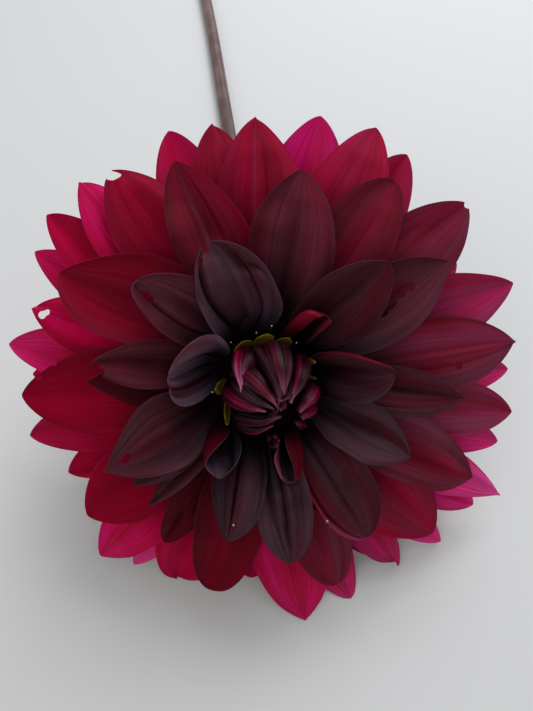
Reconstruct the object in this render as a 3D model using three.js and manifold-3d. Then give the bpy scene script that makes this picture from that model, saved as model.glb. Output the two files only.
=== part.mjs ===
// A decorative dahlia bloom, cut with its stem and laid on its back on a table.
// Millimetres, +Z up. The bloom's own frame has its heart at the origin, x to the right, y up across
// its face and z out along its axis. Clock angles run clockwise from y, as a face is read.
import * as THREE from "three";
import { mergeVertices } from "three/addons/utils/BufferGeometryUtils.js";
import Module from "manifold-3d";

const wasm = await Module();
wasm.setup();

// How the flower lies
const axisRise = 50; // degrees between the bloom's axis and the table
const heartHeight = 49.5; // the bloom's heart above the table
const footprintCentre = new THREE.Vector2(4.04, 167.02); // middle of the whole flower, from below its heart
const tableSoftness = 2.5; // how gradually petals flatten as they come down on the table
const tableRest = 0.15; // middle of a petal's thickness where it is pressed flat
const tableBlock = [400, 400, 20]; // stands for the table when petals are trimmed level with it

// Petals
const petalThickness = 0.8;
const clawShare = 0.24; // width of a petal's root beside its full width
const clawSwell = 1.3; // how slowly the root widens
const widestAt = 0.57; // share of the length where a petal is widest
const shoulder = 2.1; // how far a petal keeps its width towards the tip
const tipRounding = 0.74; // 1 gives a straight-sided point, less a rounder one
const tipShare = 0.09;
const curveHandle = 0.36; // how far a midrib holds its first and last directions, as a share of its chord
const cupAtRoot = 1.25; // a petal's cup at its root and tip, as shares of its stated half angle
const cupAtTip = 0.7;
const cupSeat = 0.35; // share of a cup's depth that hangs below the midrib's curve
const layerGap = 1.8; // between one petal and the next above it
const mostLift = 7; // no place on a petal is lifted further than this to clear the ones below
const heldFrom = 0.38; // nearer the root than this share, petals are packed together

// Each whorl: the radius its petals are rooted at, the angles at which they leave the receptacle and
// end, in degrees above the bloom's face, the share of each blade left out at its hidden root, and the
// rows and columns of each blade.
const whorls = {
  back: { root: 12.5, leave: -16, arrive: -40, from: 0.15, rows: 4, columns: 2 },
  rear: { root: 13.4, leave: -2, arrive: -26, from: 0.15, rows: 3, columns: 2 },
  outer: { root: 13.8, leave: 20, arrive: -20, from: 0.15, rows: 4, columns: 4 },
  middle: { root: 13, leave: 44, arrive: -14, from: 0.1, rows: 4, columns: 4 },
  inner: { root: 16, leave: 66, arrive: 4, from: 0, rows: 5, columns: 4 },
  heart: { root: 17.4, leave: 84, arrive: 20, from: 0, rows: 5, columns: 4 },
};
// The higher a petal's tip ends, the higher up the receptacle it is rooted.
const rootHeight = (tipHeight) => -6 + 0.36 * tipHeight;

// Each petal of the face: clock angle, reach of its tip from the axis, width along its curve, height
// of its tip, half angle of its cup in degrees, and how far the tip swings clockwise.
const facePetals = {
  heart: [
    [308, 31, 35, 34, 66, -8],
    [226, 31, 18, 33, 72, -2],
    [166, 27, 15, 32, 80, 2],
    [38, 29, 12, 37, 95, 3],
  ],
  inner: [
    [351.5, 47.5, 30, 34, 58, 0],
    [45, 53, 23, 34, 42, 3],
    [81, 39, 22, 35, 58, 4],
    [117, 48, 19, 34, 45, 3],
    [178.5, 54, 19, 32, 35, 0],
    [205, 47.5, 19, 33, 42, -3],
    [257, 53.5, 25, 32, 35, -5],
    [298, 52, 18, 31, 40, -10],
    [336, 53, 26, 32.5, 38, -17],
    [145, 57.5, 24, 29, 38, -6],
    [96, 63, 18, 28, 40, 3],
    [59, 69, 25, 28, 32, 2],
    [279, 54.5, 16, 25, 45, 1],
    [241, 51, 13, 25, 40, 0],
    [231, 53, 10, 20, 40, 0],
    [163, 44, 14, 24, 45, 0],
  ],
  middle: [
    [17.5, 69, 30, 20, 42, -2],
    [349.5, 75, 25, 18, 40, -6],
    [34.5, 78, 27, 16, 45, 5],
    [323, 70, 36, 17, 40, -21],
    [276.5, 78, 29, 13, 34, -3],
    [241, 74, 30, 12, 36, -2],
    [218, 64, 14, 13, 40, 0],
    [201, 74.5, 25, 14, 30, -2],
    [166.5, 77.5, 21, 13, 35, 0],
    [119, 81, 24, 15, 30, 3],
    [137, 84, 32, 10, 30, 2],
    [85.5, 88, 29, 13, 30, 3],
    [103.5, 91.5, 24, 8, 30, 1],
    [53.5, 91.5, 28, 11, 30, 3],
    [74, 94, 27, 9, 30, 2],
  ],
  outer: [
    [5, 86.8, 30, 3, 35, 0],
    [30.5, 95, 30, 1, 30, 1],
    [18.7, 93.3, 29, -3, 38, 1],
    [41.3, 95.3, 27, -5, 35, -2],
    [355, 87.5, 26, -1, 40, 1],
    [345, 90.2, 27, -4, 35, 2],
    [333, 86, 29, 1, 30, -3],
    [321.5, 90, 24, -3, 38, 4],
    [311.5, 92, 23, -5, 35, 4],
    [305, 90, 20, -8, 35, 1],
    [294, 81.5, 23, -4, 38, 0],
    [284, 89, 22, -6, 40, 0],
    [276, 82, 20, -10, 30, 1],
    [262, 85, 22, -5, 38, 0],
    [249, 79.5, 20, -9, 30, 0],
    [239, 80, 22, -7, 35, 0],
    [227.5, 90, 24, -5, 30, 0],
    [219, 87.5, 18, -8, 40, 0],
    [209, 84.5, 30, -6, 30, -2],
    [188, 82, 24, -7, 30, 0],
    [177, 97, 31, 1, 32, -1],
    [165.5, 96, 21, -2, 38, 0],
    [154, 87, 18, -5, 36, 0],
    [151, 91, 18, -2, 45, 0],
    [140, 98, 19, -4, 40, 0],
    [128, 97, 22, -1, 42, 0],
    [123, 102, 21, 2, 45, 0],
    [112.5, 95.8, 20, -3, 42, 0],
    [95.5, 95, 20, -4, 42, 0],
    [67, 84, 22, -5, 40, 0],
  ],
};

// The two whorls behind the face follow a rule: count, mean reach and height, and how much they vary.
const hiddenWhorls = {
  rear: { count: 14, start: 6, reach: 77, width: 25, height: -19, vary: 3 },
  back: { count: 12, start: 20, reach: 62, width: 22, height: -36, vary: 3 },
};
const crushed = [140, 222]; // clock angles between which the table leaves no room for the back whorl

// Where insects have bitten petals: the petal, the place along and across it, and the bite's radius
const bites = [
  { whorl: "outer", clock: 333, along: 0.98, across: 0, radius: 2.8 },
  { whorl: "outer", clock: 294, along: 0.93, across: 0, radius: 2 },
  { whorl: "inner", clock: 59, along: 0.75, across: 0, radius: 2.8 },
  { whorl: "inner", clock: 257, along: 0.87, across: -0.05, radius: 1.5 },
  { whorl: "middle", clock: 85.5, along: 0.72, across: 0.35, radius: 1.7 },
];
const biteDepth = 8;
const biteSides = 9;

// How finely the turned solids and the closed florets are cut
const bloomSides = 20;
const budSides = 16;
const budFloretGrid = { rows: 4, columns: 2 };
const scaleGrid = { rows: 3, columns: 2 };
const bractGrid = { rows: 4, columns: 2 };

// Receptacle, bud, scales and calyx, as (radius, height) outlines in the bloom's frame
const receptacleOutline = [
  [0, -18],
  [12, -18],
  [22, -16],
  [27, -11],
  [28, -4],
  [25, 3],
  [21, 6.8],
  [14, 8.6],
  [0, 8.6],
];
const roomForBud = [
  [0, 8.6],
  [11.6, 8.6],
  [15, 14],
  [16.2, 20],
  [16, 26],
  [13.6, 33],
  [9, 38],
  [0, 41.5],
];
const budCore = [
  [0, 10.2],
  [7, 10.2],
  [10.4, 15],
  [11.8, 20.5],
  [11.2, 27],
  [7.8, 33],
  [0, 36],
];
const budLean = new THREE.Vector2(3.4, -2.6); // how far the bud's apex leans
const budFoot = 10; // the bud's height range, over which the lean grows
const budHeight = 27;
const leanGrowth = 1.6;
const budFloretThickness = 2;
const budFloretCrown = { middle: 0.5, edge: 0.9 }; // a floret stands out at its middle and dips at its edges
const budFloretTuck = 0.5; // how far an outer layer's tips rise over the inner ones
// Each layer of closed florets: count, first clock angle, width, start and end along the bud, twist
const budLayers = [
  { count: 9, first: 12, width: 9, from: 0.04, to: 0.8, out: 0, twist: 34 },
  { count: 6, first: 30, width: 8.5, from: 0.42, to: 0.93, out: 0.6, twist: 36 },
  { count: 3, first: 5, width: 7, from: 0.66, to: 1, out: 1, twist: 40 },
];
const scaleRing = [
  [5.5, 8.9],
  [10.3, 8.9],
  [10.9, 9.9],
  [5.5, 9.9],
];
const scaleThickness = 0.8;
const scaleWidth = 6.5;
const scaleTurns = [14, 48, 84, 118, 152, 190, 236, 262, 300, 334]; // clock angles
const scaleFoot = { radius: 10.3, height: 9.4 };
const scaleLean = 4.4; // how far a scale leans out from its foot to its tip
const scaleLengths = [9, 10.5, 12]; // taken in turn
const scaleTaper = 0.75;
const calyxOutline = [
  [0, -26],
  [5.2, -26],
  [7.5, -24.5],
  [11.2, -20.5],
  [11.6, -18.4],
  [0, -18.4],
];
const bracts = {
  count: 7,
  first: 15, // clock angle
  width: 8,
  taper: 0.8,
  root: [9.5, -21.5],
  tip: [19, -33],
  curl: 1.6, // how late a bract turns back
  thickness: 1.2,
};

// Stem, from just behind the calyx to the cut end, along points on the way
const stemRadius = 4.3;
const stemSides = 10;
const stemSteps = 34;
const stemRoute = [
  [0, 16.9, 29.35],
  [0.2, 24.4, 20.4],
  [0.8, 32, 12.4],
  [2, 41, 7.1],
  [3.4, 53, 4.7],
  [4.8, 76, 4.25],
  [6, 120, 4.22],
  [7.2, 180, 4.22],
  [7.4, 250, 4.22],
  [7.4, 330, 4.22],
  [6.4, 409, 4.22],
];

const radians = THREE.MathUtils.degToRad;

function seededRandom(seed) {
  let state = seed;
  return () => {
    state = (state * 16807) % 2147483647;
    return state / 2147483647;
  };
}

// From the bloom's frame to the flower's, before any petal meets the table.
const bloomFrame = new THREE.Matrix4()
  .makeRotationX(radians(90 - axisRise))
  .setPosition(0, 0, heartHeight);

// A point as it lies once the table holds it up.
function settleOnTable(point) {
  const placed = point.clone().applyMatrix4(bloomFrame);
  placed.z = tableRest + tableSoftness * Math.log1p(Math.exp((placed.z - tableRest) / tableSoftness));
  return placed;
}

// Half width of a petal as a share of its full half width.
function widthShare(along) {
  if (along < widestAt) {
    const swell = Math.sin((along / widestAt) * (Math.PI / 2)) ** clawSwell;
    return clawShare + (1 - clawShare) * swell;
  }
  const beyond = (along - widestAt) / (1 - widestAt);
  return Math.max(tipShare, (1 - beyond ** shoulder) ** tipRounding);
}

// One petal's middle surface in the bloom's frame: along runs 0 to 1, across runs -1 to 1.
function petalSurface(whorl, [clock, reach, width, height, cup, bend]) {
  const { root, leave, arrive } = whorls[whorl];
  const start = new THREE.Vector2(root, rootHeight(height));
  const end = new THREE.Vector2(reach, height);
  const handle = curveHandle * start.distanceTo(end);
  const leaving = new THREE.Vector2(Math.cos(radians(leave)), Math.sin(radians(leave)));
  const arriving = new THREE.Vector2(Math.cos(radians(arrive)), Math.sin(radians(arrive)));
  const midrib = new THREE.CubicBezierCurve(
    start,
    start.clone().addScaledVector(leaving, handle),
    end.clone().addScaledVector(arriving, -handle),
    end,
  );
  const outward = new THREE.Vector3(Math.sin(radians(clock)), Math.cos(radians(clock)), 0);
  const clockwise = new THREE.Vector3(outward.y, -outward.x, 0);
  return (along, across) => {
    const centre = midrib.getPoint(along);
    const slope = midrib.getTangent(along);
    const half = (width / 2) * widthShare(along);
    const turn = radians(cup) * THREE.MathUtils.lerp(cupAtRoot, cupAtTip, along);
    const radius = half / turn;
    const rise = radius * (1 - Math.cos(turn * across) - cupSeat * (1 - Math.cos(turn)));
    const sideways = radius * Math.sin(turn * across) + bend * along ** 2;
    return new THREE.Vector3()
      .addScaledVector(outward, centre.x - slope.y * rise)
      .addScaledVector(clockwise, sideways)
      .setZ(centre.y + slope.x * rise);
  };
}

// A map of the highest petal at each place on the bloom's face, so that each petal lies on the last.
const mapReach = 116;
const mapStep = 2;
const mapSide = Math.ceil((2 * mapReach) / mapStep);
const highest = new Float64Array(mapSide * mapSide).fill(-1000);
const mapCell = (point) => {
  const column = Math.floor((point.x + mapReach) / mapStep);
  return Math.floor((point.y + mapReach) / mapStep) * mapSide + column;
};
const samples = { along: 30, across: 16 };
const liftCells = { along: 6, across: 4 };

function eachSample(surface, visit) {
  for (let i = 0; i <= samples.along; i++) {
    const along = heldFrom + (1 - heldFrom) * (i / samples.along);
    for (let j = 0; j <= samples.across; j++) {
      const across = -1 + (2 * j) / samples.across;
      visit(surface(along, across), along, across);
    }
  }
}

// The cell of a petal's lift grid that a place lies in, and how far through that cell it is.
function liftCell(along, across) {
  const u = along * liftCells.along;
  const v = ((across + 1) / 2) * liftCells.across;
  const i = THREE.MathUtils.clamp(Math.floor(u), 0, liftCells.along - 1);
  const j = THREE.MathUtils.clamp(Math.floor(v), 0, liftCells.across - 1);
  return { i, j, u: THREE.MathUtils.smoothstep(u - i, 0, 1), v: THREE.MathUtils.smoothstep(v - j, 0, 1) };
}

// Lays a petal over those already there: it rises where it would run into one below.
function layPetal(whorl, petal) {
  const free = petalSurface(whorl, petal);
  const lifts = Array.from({ length: liftCells.along + 1 }, () => new Array(liftCells.across + 1).fill(0));
  eachSample(free, (point, along, across) => {
    const need = Math.min(mostLift, highest[mapCell(point)] + layerGap - point.z);
    const { i, j } = liftCell(along, across);
    for (const a of [i, i + 1]) {
      for (const b of [j, j + 1]) {
        lifts[a][b] = Math.max(lifts[a][b], need);
      }
    }
  });
  const laid = (along, across) => {
    const { i, j, u, v } = liftCell(along, across);
    const near = lifts[i][j] * (1 - v) + lifts[i][j + 1] * v;
    const far = lifts[i + 1][j] * (1 - v) + lifts[i + 1][j + 1] * v;
    const point = free(along, across);
    return point.setZ(point.z + near * (1 - u) + far * u);
  };
  eachSample(laid, (point) => {
    const cell = mapCell(point);
    highest[cell] = Math.max(highest[cell], point.z);
  });
  return laid;
}

// The way a surface faces at a place on it.
function surfaceNormal(surface, along, across) {
  const step = 0.01;
  const ahead = surface(Math.min(1, along + step), across);
  const lengthwise = ahead.sub(surface(Math.max(0, along - step), across));
  const crosswise = surface(along, across + step).sub(surface(along, across - step));
  return crosswise.cross(lengthwise).normalize();
}

// A closed blade round a surface, its two faces split into triangles alike. Its rows draw closer
// towards the tip.
function bladeGeometry(surface, { from = 0, rows, columns }, thickness) {
  const positions = [];
  for (const side of [1, -1]) {
    for (let i = 0; i <= rows; i++) {
      const along = 1 - (1 - from) * (1 - i / rows) ** 1.25;
      for (let j = 0; j <= columns; j++) {
        const across = -1 + (2 * j) / columns;
        const normal = surfaceNormal(surface, along, across);
        positions.push(...surface(along, across).addScaledVector(normal, (side * thickness) / 2));
      }
    }
  }
  const wide = columns + 1;
  const under = (rows + 1) * wide;
  const faces = [];
  const quad = (a, b, c, d) => faces.push(a, b, c, a, c, d);
  for (let i = 0; i < rows; i++) {
    for (let j = 0; j < columns; j++) {
      const a = i * wide + j;
      quad(a, a + 1, a + wide + 1, a + wide);
      faces.push(under + a, under + a + wide + 1, under + a + 1);
      faces.push(under + a, under + a + wide, under + a + wide + 1);
    }
    const left = i * wide;
    const right = left + columns;
    quad(left, left + wide, under + left + wide, under + left);
    quad(right, under + right, under + right + wide, right + wide);
  }
  for (let j = 0; j < columns; j++) {
    const tip = rows * wide + j;
    quad(j, under + j, under + j + 1, j + 1);
    quad(tip, tip + 1, under + tip + 1, under + tip);
  }
  const geometry = new THREE.BufferGeometry();
  geometry.setAttribute("position", new THREE.Float32BufferAttribute(positions, 3));
  return geometry.setIndex(faces);
}

// A closed mesh as a solid with its faces outward.
function toSolid(geometry) {
  const bare = geometry.clone();
  bare.deleteAttribute("normal");
  bare.deleteAttribute("uv");
  const merged = mergeVertices(bare, 1e-4);
  const position = merged.attributes.position;
  const corners = [];
  let volume = 0;
  for (let i = 0; i < merged.index.count; i += 3) {
    const [a, b, c] = [0, 1, 2].map((k) => merged.index.getX(i + k));
    if (a === b || b === c || c === a) continue;
    corners.push(a, b, c);
    const [p, q, r] = [a, b, c].map((k) => new THREE.Vector3().fromBufferAttribute(position, k));
    volume += p.dot(q.cross(r));
  }
  if (volume < 0) corners.reverse();
  return new wasm.Manifold(
    new wasm.Mesh({
      numProp: 3,
      vertProperties: position.array,
      triVerts: new Uint32Array(corners),
    }),
  );
}

function toGeometry(solid) {
  const mesh = solid.getMesh();
  const geometry = new THREE.BufferGeometry();
  geometry.setAttribute("position", new THREE.BufferAttribute(mesh.vertProperties, 3));
  return geometry.setIndex(new THREE.BufferAttribute(mesh.triVerts, 1));
}

// Joins solids into one body: a hollow that the joining seals is filled and a loose scrap dropped.
function fuse(solids) {
  const whole = solids.reduce((sum, solid) => sum.add(solid));
  return largestBody(whole);
}

function largestBody(solid) {
  return solid.decompose().reduce((best, body) => (body.volume() > best.volume() ? body : best));
}

// A place in the bloom's frame at an angle clockwise round its axis.
function roundAxis(angle, radius, height) {
  return new THREE.Vector3(radius * Math.sin(angle), radius * Math.cos(angle), height);
}

// Leans what stands on the receptacle, more towards its top.
function leanWithBud(point) {
  const rise = Math.max(0, (point.z - budFoot) / budHeight) ** leanGrowth;
  return point.setX(point.x + budLean.x * rise).setY(point.y + budLean.y * rise);
}

// A turned solid in the bloom's frame, moved point by point to where it lies.
function turnedSolid(outline, sides, move = (point) => point) {
  const points = outline.map(([radius, height]) => new THREE.Vector2(radius, height));
  const lathe = new THREE.LatheGeometry(points, sides).rotateX(Math.PI / 2);
  const position = lathe.attributes.position;
  const point = new THREE.Vector3();
  for (let i = 0; i < position.count; i++) {
    point.fromBufferAttribute(position, i);
    const placed = settleOnTable(move(point));
    position.setXYZ(i, placed.x, placed.y, placed.z);
  }
  return toSolid(lathe);
}

function bladeSolid(surface, grid, thickness) {
  const onTable = (along, across) => settleOnTable(surface(along, across));
  return toSolid(bladeGeometry(onTable, grid, thickness));
}

// A petal's blade, with the bites that are taken out of it.
function petalSolid(whorl, petal) {
  const surface = layPetal(whorl, petal);
  const onTable = (along, across) => settleOnTable(surface(along, across));
  let solid = bladeSolid(surface, whorls[whorl], petalThickness);
  for (const bite of bites) {
    if (bite.whorl !== whorl || bite.clock !== petal[0]) continue;
    const normal = surfaceNormal(onTable, bite.along, bite.across);
    const turn = new THREE.Quaternion().setFromUnitVectors(new THREE.Vector3(0, 1, 0), normal);
    const place = onTable(bite.along, bite.across);
    const punch = new THREE.CylinderGeometry(bite.radius, bite.radius, biteDepth, biteSides);
    solid = solid.subtract(toSolid(punch.applyQuaternion(turn).translate(place.x, place.y, place.z)));
  }
  return solid;
}

// The two hidden whorls, evenly spaced with a little seeded variation.
function hiddenPetals() {
  const random = seededRandom(71);
  const spread = (amount) => (2 * random() - 1) * amount;
  return Object.entries(hiddenWhorls).flatMap(([whorl, rule]) => {
    const petals = [];
    for (let i = 0; i < rule.count; i++) {
      const clock = (rule.start + (i * 360) / rule.count + spread(rule.vary)) % 360;
      const reach = rule.reach + spread(rule.vary);
      const height = rule.height + spread(rule.vary);
      if (whorl === "back" && clock > crushed[0] && clock < crushed[1]) continue;
      petals.push({ whorl, petal: [clock, reach, rule.width, height, 32, 0] });
    }
    return petals;
  });
}

function buildPetals() {
  const onFace = Object.entries(facePetals).flatMap(([whorl, petals]) =>
    petals.map((petal) => ({ whorl, petal })),
  );
  const fromBelow = [...hiddenPetals(), ...onFace].sort((a, b) => a.petal[3] - b.petal[3]);
  const blades = fromBelow.map(({ whorl, petal }) => petalSolid(whorl, petal));
  const receptacle = turnedSolid(receptacleOutline, bloomSides);
  const room = turnedSolid(roomForBud, bloomSides, leanWithBud);
  const table = toSolid(new THREE.BoxGeometry(...tableBlock).translate(0, 0, -tableBlock[2] / 2));
  return largestBody(fuse([receptacle, ...blades]).subtract(room).subtract(table));
}

// A closed floret of the bud: a thick blade that follows the bud's side with a twist.
function budFloret(layer, clock) {
  const core = new THREE.SplineCurve(budCore.slice(1).map((pair) => new THREE.Vector2(...pair)));
  return (along, across) => {
    const side = core.getPoint(layer.from + (layer.to - layer.from) * along);
    const half = (layer.width / 2) * Math.sin(Math.PI * THREE.MathUtils.lerp(0.2, 0.92, along)) ** 0.8;
    const crown = budFloretCrown.middle - budFloretCrown.edge * across ** 2;
    const radius = side.x + layer.out + crown;
    const angle = radians(clock + layer.twist * along) + (half * across) / Math.max(4, side.x);
    const height = side.y + budFloretTuck * layer.out * along;
    return leanWithBud(roundAxis(angle, radius, height));
  };
}

function buildBud() {
  const florets = budLayers.flatMap((layer) =>
    Array.from({ length: layer.count }, (_, i) => {
      const surface = budFloret(layer, layer.first + (i * 360) / layer.count);
      return bladeSolid(surface, budFloretGrid, budFloretThickness);
    }),
  );
  return fuse([turnedSolid(budCore, budSides, leanWithBud), ...florets]);
}

// A scale stands on the ring under the bud and leans outward round the bud's foot.
function scaleSurface(clock, length) {
  return (along, across) => {
    const height = scaleFoot.height + length * along;
    const radius = scaleFoot.radius + scaleLean * Math.sin((along * Math.PI) / 2);
    const half = (scaleWidth / 2) * (1 - scaleTaper * along ** 2);
    return leanWithBud(roundAxis(radians(clock) + (half * across) / radius, radius, height));
  };
}

function buildScales() {
  const ring = turnedSolid([...scaleRing, scaleRing[0]], bloomSides);
  const scales = scaleTurns.map((clock, i) => {
    const surface = scaleSurface(clock, scaleLengths[i % scaleLengths.length]);
    return bladeSolid(surface, scaleGrid, scaleThickness);
  });
  return fuse([ring, ...scales]);
}

function bractSurface(clock) {
  const { root, tip, curl, width, taper } = bracts;
  return (along, across) => {
    const radius = THREE.MathUtils.lerp(root[0], tip[0], Math.sin((along * Math.PI) / 2));
    const height = THREE.MathUtils.lerp(root[1], tip[1], along ** curl);
    const half = (width / 2) * (1 - taper * along ** 2);
    return roundAxis(radians(clock) + (half * across) / radius, radius, height);
  };
}

function buildCalyx() {
  const leaves = Array.from({ length: bracts.count }, (_, i) => {
    const surface = bractSurface(bracts.first + (i * 360) / bracts.count);
    return bladeSolid(surface, bractGrid, bracts.thickness);
  });
  return fuse([turnedSolid(calyxOutline, budSides), ...leaves]);
}

function buildStem() {
  const section = new THREE.Shape();
  for (let i = 0; i < stemSides; i++) {
    const angle = (i * 2 * Math.PI) / stemSides;
    section[i ? "lineTo" : "moveTo"](stemRadius * Math.cos(angle), stemRadius * Math.sin(angle));
  }
  const extrudePath = new THREE.CatmullRomCurve3(stemRoute.map((point) => new THREE.Vector3(...point)));
  return toSolid(new THREE.ExtrudeGeometry(section, { steps: stemSteps, extrudePath }));
}

const finishes = {
  petals: { color: 0x6d0a2b, roughness: 0.62 },
  bud: { color: 0x4a1428, roughness: 0.55 },
  scales: { color: 0x8c8a3a, roughness: 0.6 },
  calyx: { color: 0x5f6b35, roughness: 0.65 },
  stem: { color: 0x7a5f57, roughness: 0.6 },
};
const makers = {
  petals: buildPetals,
  bud: buildBud,
  scales: buildScales,
  calyx: buildCalyx,
  stem: buildStem,
};

const dahlia = new THREE.Group();
for (const [name, make] of Object.entries(makers)) {
  const material = new THREE.MeshStandardMaterial({ ...finishes[name], metalness: 0 });
  const mesh = new THREE.Mesh(toGeometry(make()), material);
  mesh.name = name;
  dahlia.add(mesh);
}
dahlia.position.set(-footprintCentre.x, -footprintCentre.y, 0);

export default dahlia;
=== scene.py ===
import math
from functools import partial

import bpy
import numpy as np
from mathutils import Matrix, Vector


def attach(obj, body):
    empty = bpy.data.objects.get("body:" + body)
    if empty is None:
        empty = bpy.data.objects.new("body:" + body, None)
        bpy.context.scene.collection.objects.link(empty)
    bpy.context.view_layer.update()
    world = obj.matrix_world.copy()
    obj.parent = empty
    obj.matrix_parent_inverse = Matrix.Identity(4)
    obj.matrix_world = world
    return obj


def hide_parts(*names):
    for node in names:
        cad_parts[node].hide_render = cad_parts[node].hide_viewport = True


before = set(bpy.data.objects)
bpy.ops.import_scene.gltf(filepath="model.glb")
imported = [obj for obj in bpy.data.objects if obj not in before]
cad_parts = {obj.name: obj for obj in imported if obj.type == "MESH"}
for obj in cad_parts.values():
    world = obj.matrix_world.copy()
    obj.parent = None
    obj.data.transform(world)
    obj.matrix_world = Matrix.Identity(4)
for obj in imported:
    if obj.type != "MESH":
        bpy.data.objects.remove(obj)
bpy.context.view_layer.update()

# A cut dahlia bloom lying on its back, with its stem along the table. Shapes are worked out in millimetres
# in the bloom's own frame: x right across its face, y up across its face, z out along its axis, and clock
# angles clockwise from y. toFlower takes them to metres.
mm = 0.001

flower = {
    "axisRise": 50,  # degrees between the bloom's axis and the table
    "heartHeight": 49.5,  # of the bloom's heart above the table
    "footprint": (4.04, 167.02),  # middle of the whole flower, from below the heart
    "tableSoftness": 2.5,  # how gradually petals flatten on the table
    "tableRest": 0.35,  # of the lowest petals above the table
    "seed": 71,
    "smoothBelow": 55,  # degrees: gentler edges than this are shaded smooth
}

view = {
    "lens": 27,
    "sensor": 36,
    "elevation": 57.5,
    "azimuth": -8,
    "height": 216,  # of the lens above the table
    "heartAt": (260, 377),  # where the bloom's heart shows, in pixels
    "picture": (533, 711),
}


def setMode(mode):
    bpy.ops.object.mode_set(mode=mode)


def clearSelection():
    if bpy.context.mode != "OBJECT":
        setMode("OBJECT")
    bpy.ops.object.select_all(action="DESELECT")


def selectOnly(pieces):
    clearSelection()
    for piece in pieces:
        piece.select_set(True)
    bpy.context.view_layer.objects.active = pieces[0]


def pointAlong(thing, direction, axis):
    thing.rotation_mode = "QUATERNION"
    thing.rotation_quaternion = direction.to_track_quat(axis, "Y")


# Millimetres in the bloom's frame to metres in the flower's, held up by the table
def toFlower(points):
    x, y, z = points.T
    rise = math.radians(flower["axisRise"])
    level = y * math.sin(rise) - z * math.cos(rise)
    height = flower["heartHeight"] + y * math.cos(rise) + z * math.sin(rise)
    return onTable(np.column_stack((x, level, height)))


def onTable(points):
    soft, rest = flower["tableSoftness"], flower["tableRest"]
    placed = points.astype(float)
    placed[:, 2] = rest + soft * np.logaddexp(0, (placed[:, 2] - rest) / soft)
    placed[:, :2] -= flower["footprint"]
    return placed * mm


def readPoints(piece):
    points = np.zeros(len(piece.data.vertices) * 3)
    piece.data.vertices.foreach_get("co", points)
    return points.reshape(-1, 3)


def writePoints(piece, points):
    piece.data.vertices.foreach_set("co", points.astype(np.float32).ravel())
    piece.data.update()


# Camera and light

def makeCamera():
    e, a = math.radians(view["elevation"]), math.radians(view["azimuth"])
    back = Vector((math.sin(a) * math.cos(e), -math.cos(a) * math.cos(e), math.sin(e)))
    right = Vector((math.cos(a), math.sin(a), 0))
    up = back.cross(right)
    wide, high = view["picture"]
    focal = view["lens"] / view["sensor"] * high  # pixels
    px, py = view["heartAt"]
    ray = -back + right * ((px - wide / 2) / focal) + up * ((high / 2 - py) / focal)
    middle = Vector((-flower["footprint"][0], -flower["footprint"][1], flower["heartHeight"])) * mm
    distance = (middle.z - view["height"] * mm) / ray.z
    clearSelection()
    bpy.ops.object.camera_add(location=middle - ray * distance)
    camera = bpy.context.object
    pointAlong(camera, -back, "-Z")
    camera.data.lens = view["lens"]
    camera.data.sensor_width = view["sensor"]
    camera.data.clip_start = 0.01
    bpy.context.scene.camera = camera


studio = {
    "floor": ("#d3d2ce", "#d9d8d4"),
    "floorSide": 6,
    "sky": "#e9edf4",
    "skyStrength": 0.55,
    "aim": (0, -0.17, 0.03),
    # name, place in metres, size, watts, colour
    "lamps": [
        ("skyPanel", (0.45, 0.5, 0.95), 0.8, 11, "#f2f6ff"),
        ("fillPanel", (-0.6, -0.9, 0.8), 0.8, 2.5, "#fff4ea"),
    ],
}


# An sRGB hex colour as linear red, green, blue and alpha
def toLinear(code):
    parts = [int(code[i : i + 2], 16) / 255 for i in (1, 3, 5)]
    return (*[c / 12.92 if c <= 0.04045 else ((c + 0.055) / 1.055) ** 2.4 for c in parts], 1)


# Adds a node and gives its output: the one named out, or the first that is in use. An input is a value or
# the socket that feeds it, and stops are a ramp's colours.
def addNode(tree, kind, inputs=None, stops=(), out=None, **settings):
    node = tree.nodes.new("ShaderNode" + kind)
    for name, value in settings.items():
        setattr(node, name, value)
    for place, (share, colour) in enumerate(stops):
        ramp = node.color_ramp.elements
        element = ramp[place] if place < len(ramp) else ramp.new(share)
        element.position, element.color = share, toLinear(colour)
    for name, value in (inputs or {}).items():
        if isinstance(value, bpy.types.NodeSocket):
            tree.links.new(value, node.inputs[name])
        else:
            node.inputs[name].default_value = value
    return node.outputs[out] if out else next((socket for socket in node.outputs if socket.enabled), None)


# A new material, and addNode for its own tree
def startMaterial(name):
    material = bpy.data.materials.new(name)
    material.use_nodes = True
    material.node_tree.nodes.clear()
    return material, partial(addNode, material.node_tree)


# Ends a material with its shader, over bumps given as strength, depth in metres and what raises them
def finishMaterial(material, add, inputs, bumps=None):
    if bumps:
        inputs["Normal"] = add("Bump", dict(zip(("Strength", "Distance", "Height"), bumps)))
    add("OutputMaterial", {"Surface": add("BsdfPrincipled", inputs)})
    return material


# Long soft streaks: a noise that is drawn out where its scale is low
def addStreaks(add, place, scale, detail, dimensions="2D"):
    drawn = add("Mapping", {0: place, "Scale": scale})
    return add("TexNoise", {0: drawn, "Scale": 1.0, "Detail": detail}, noise_dimensions=dimensions)


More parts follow.
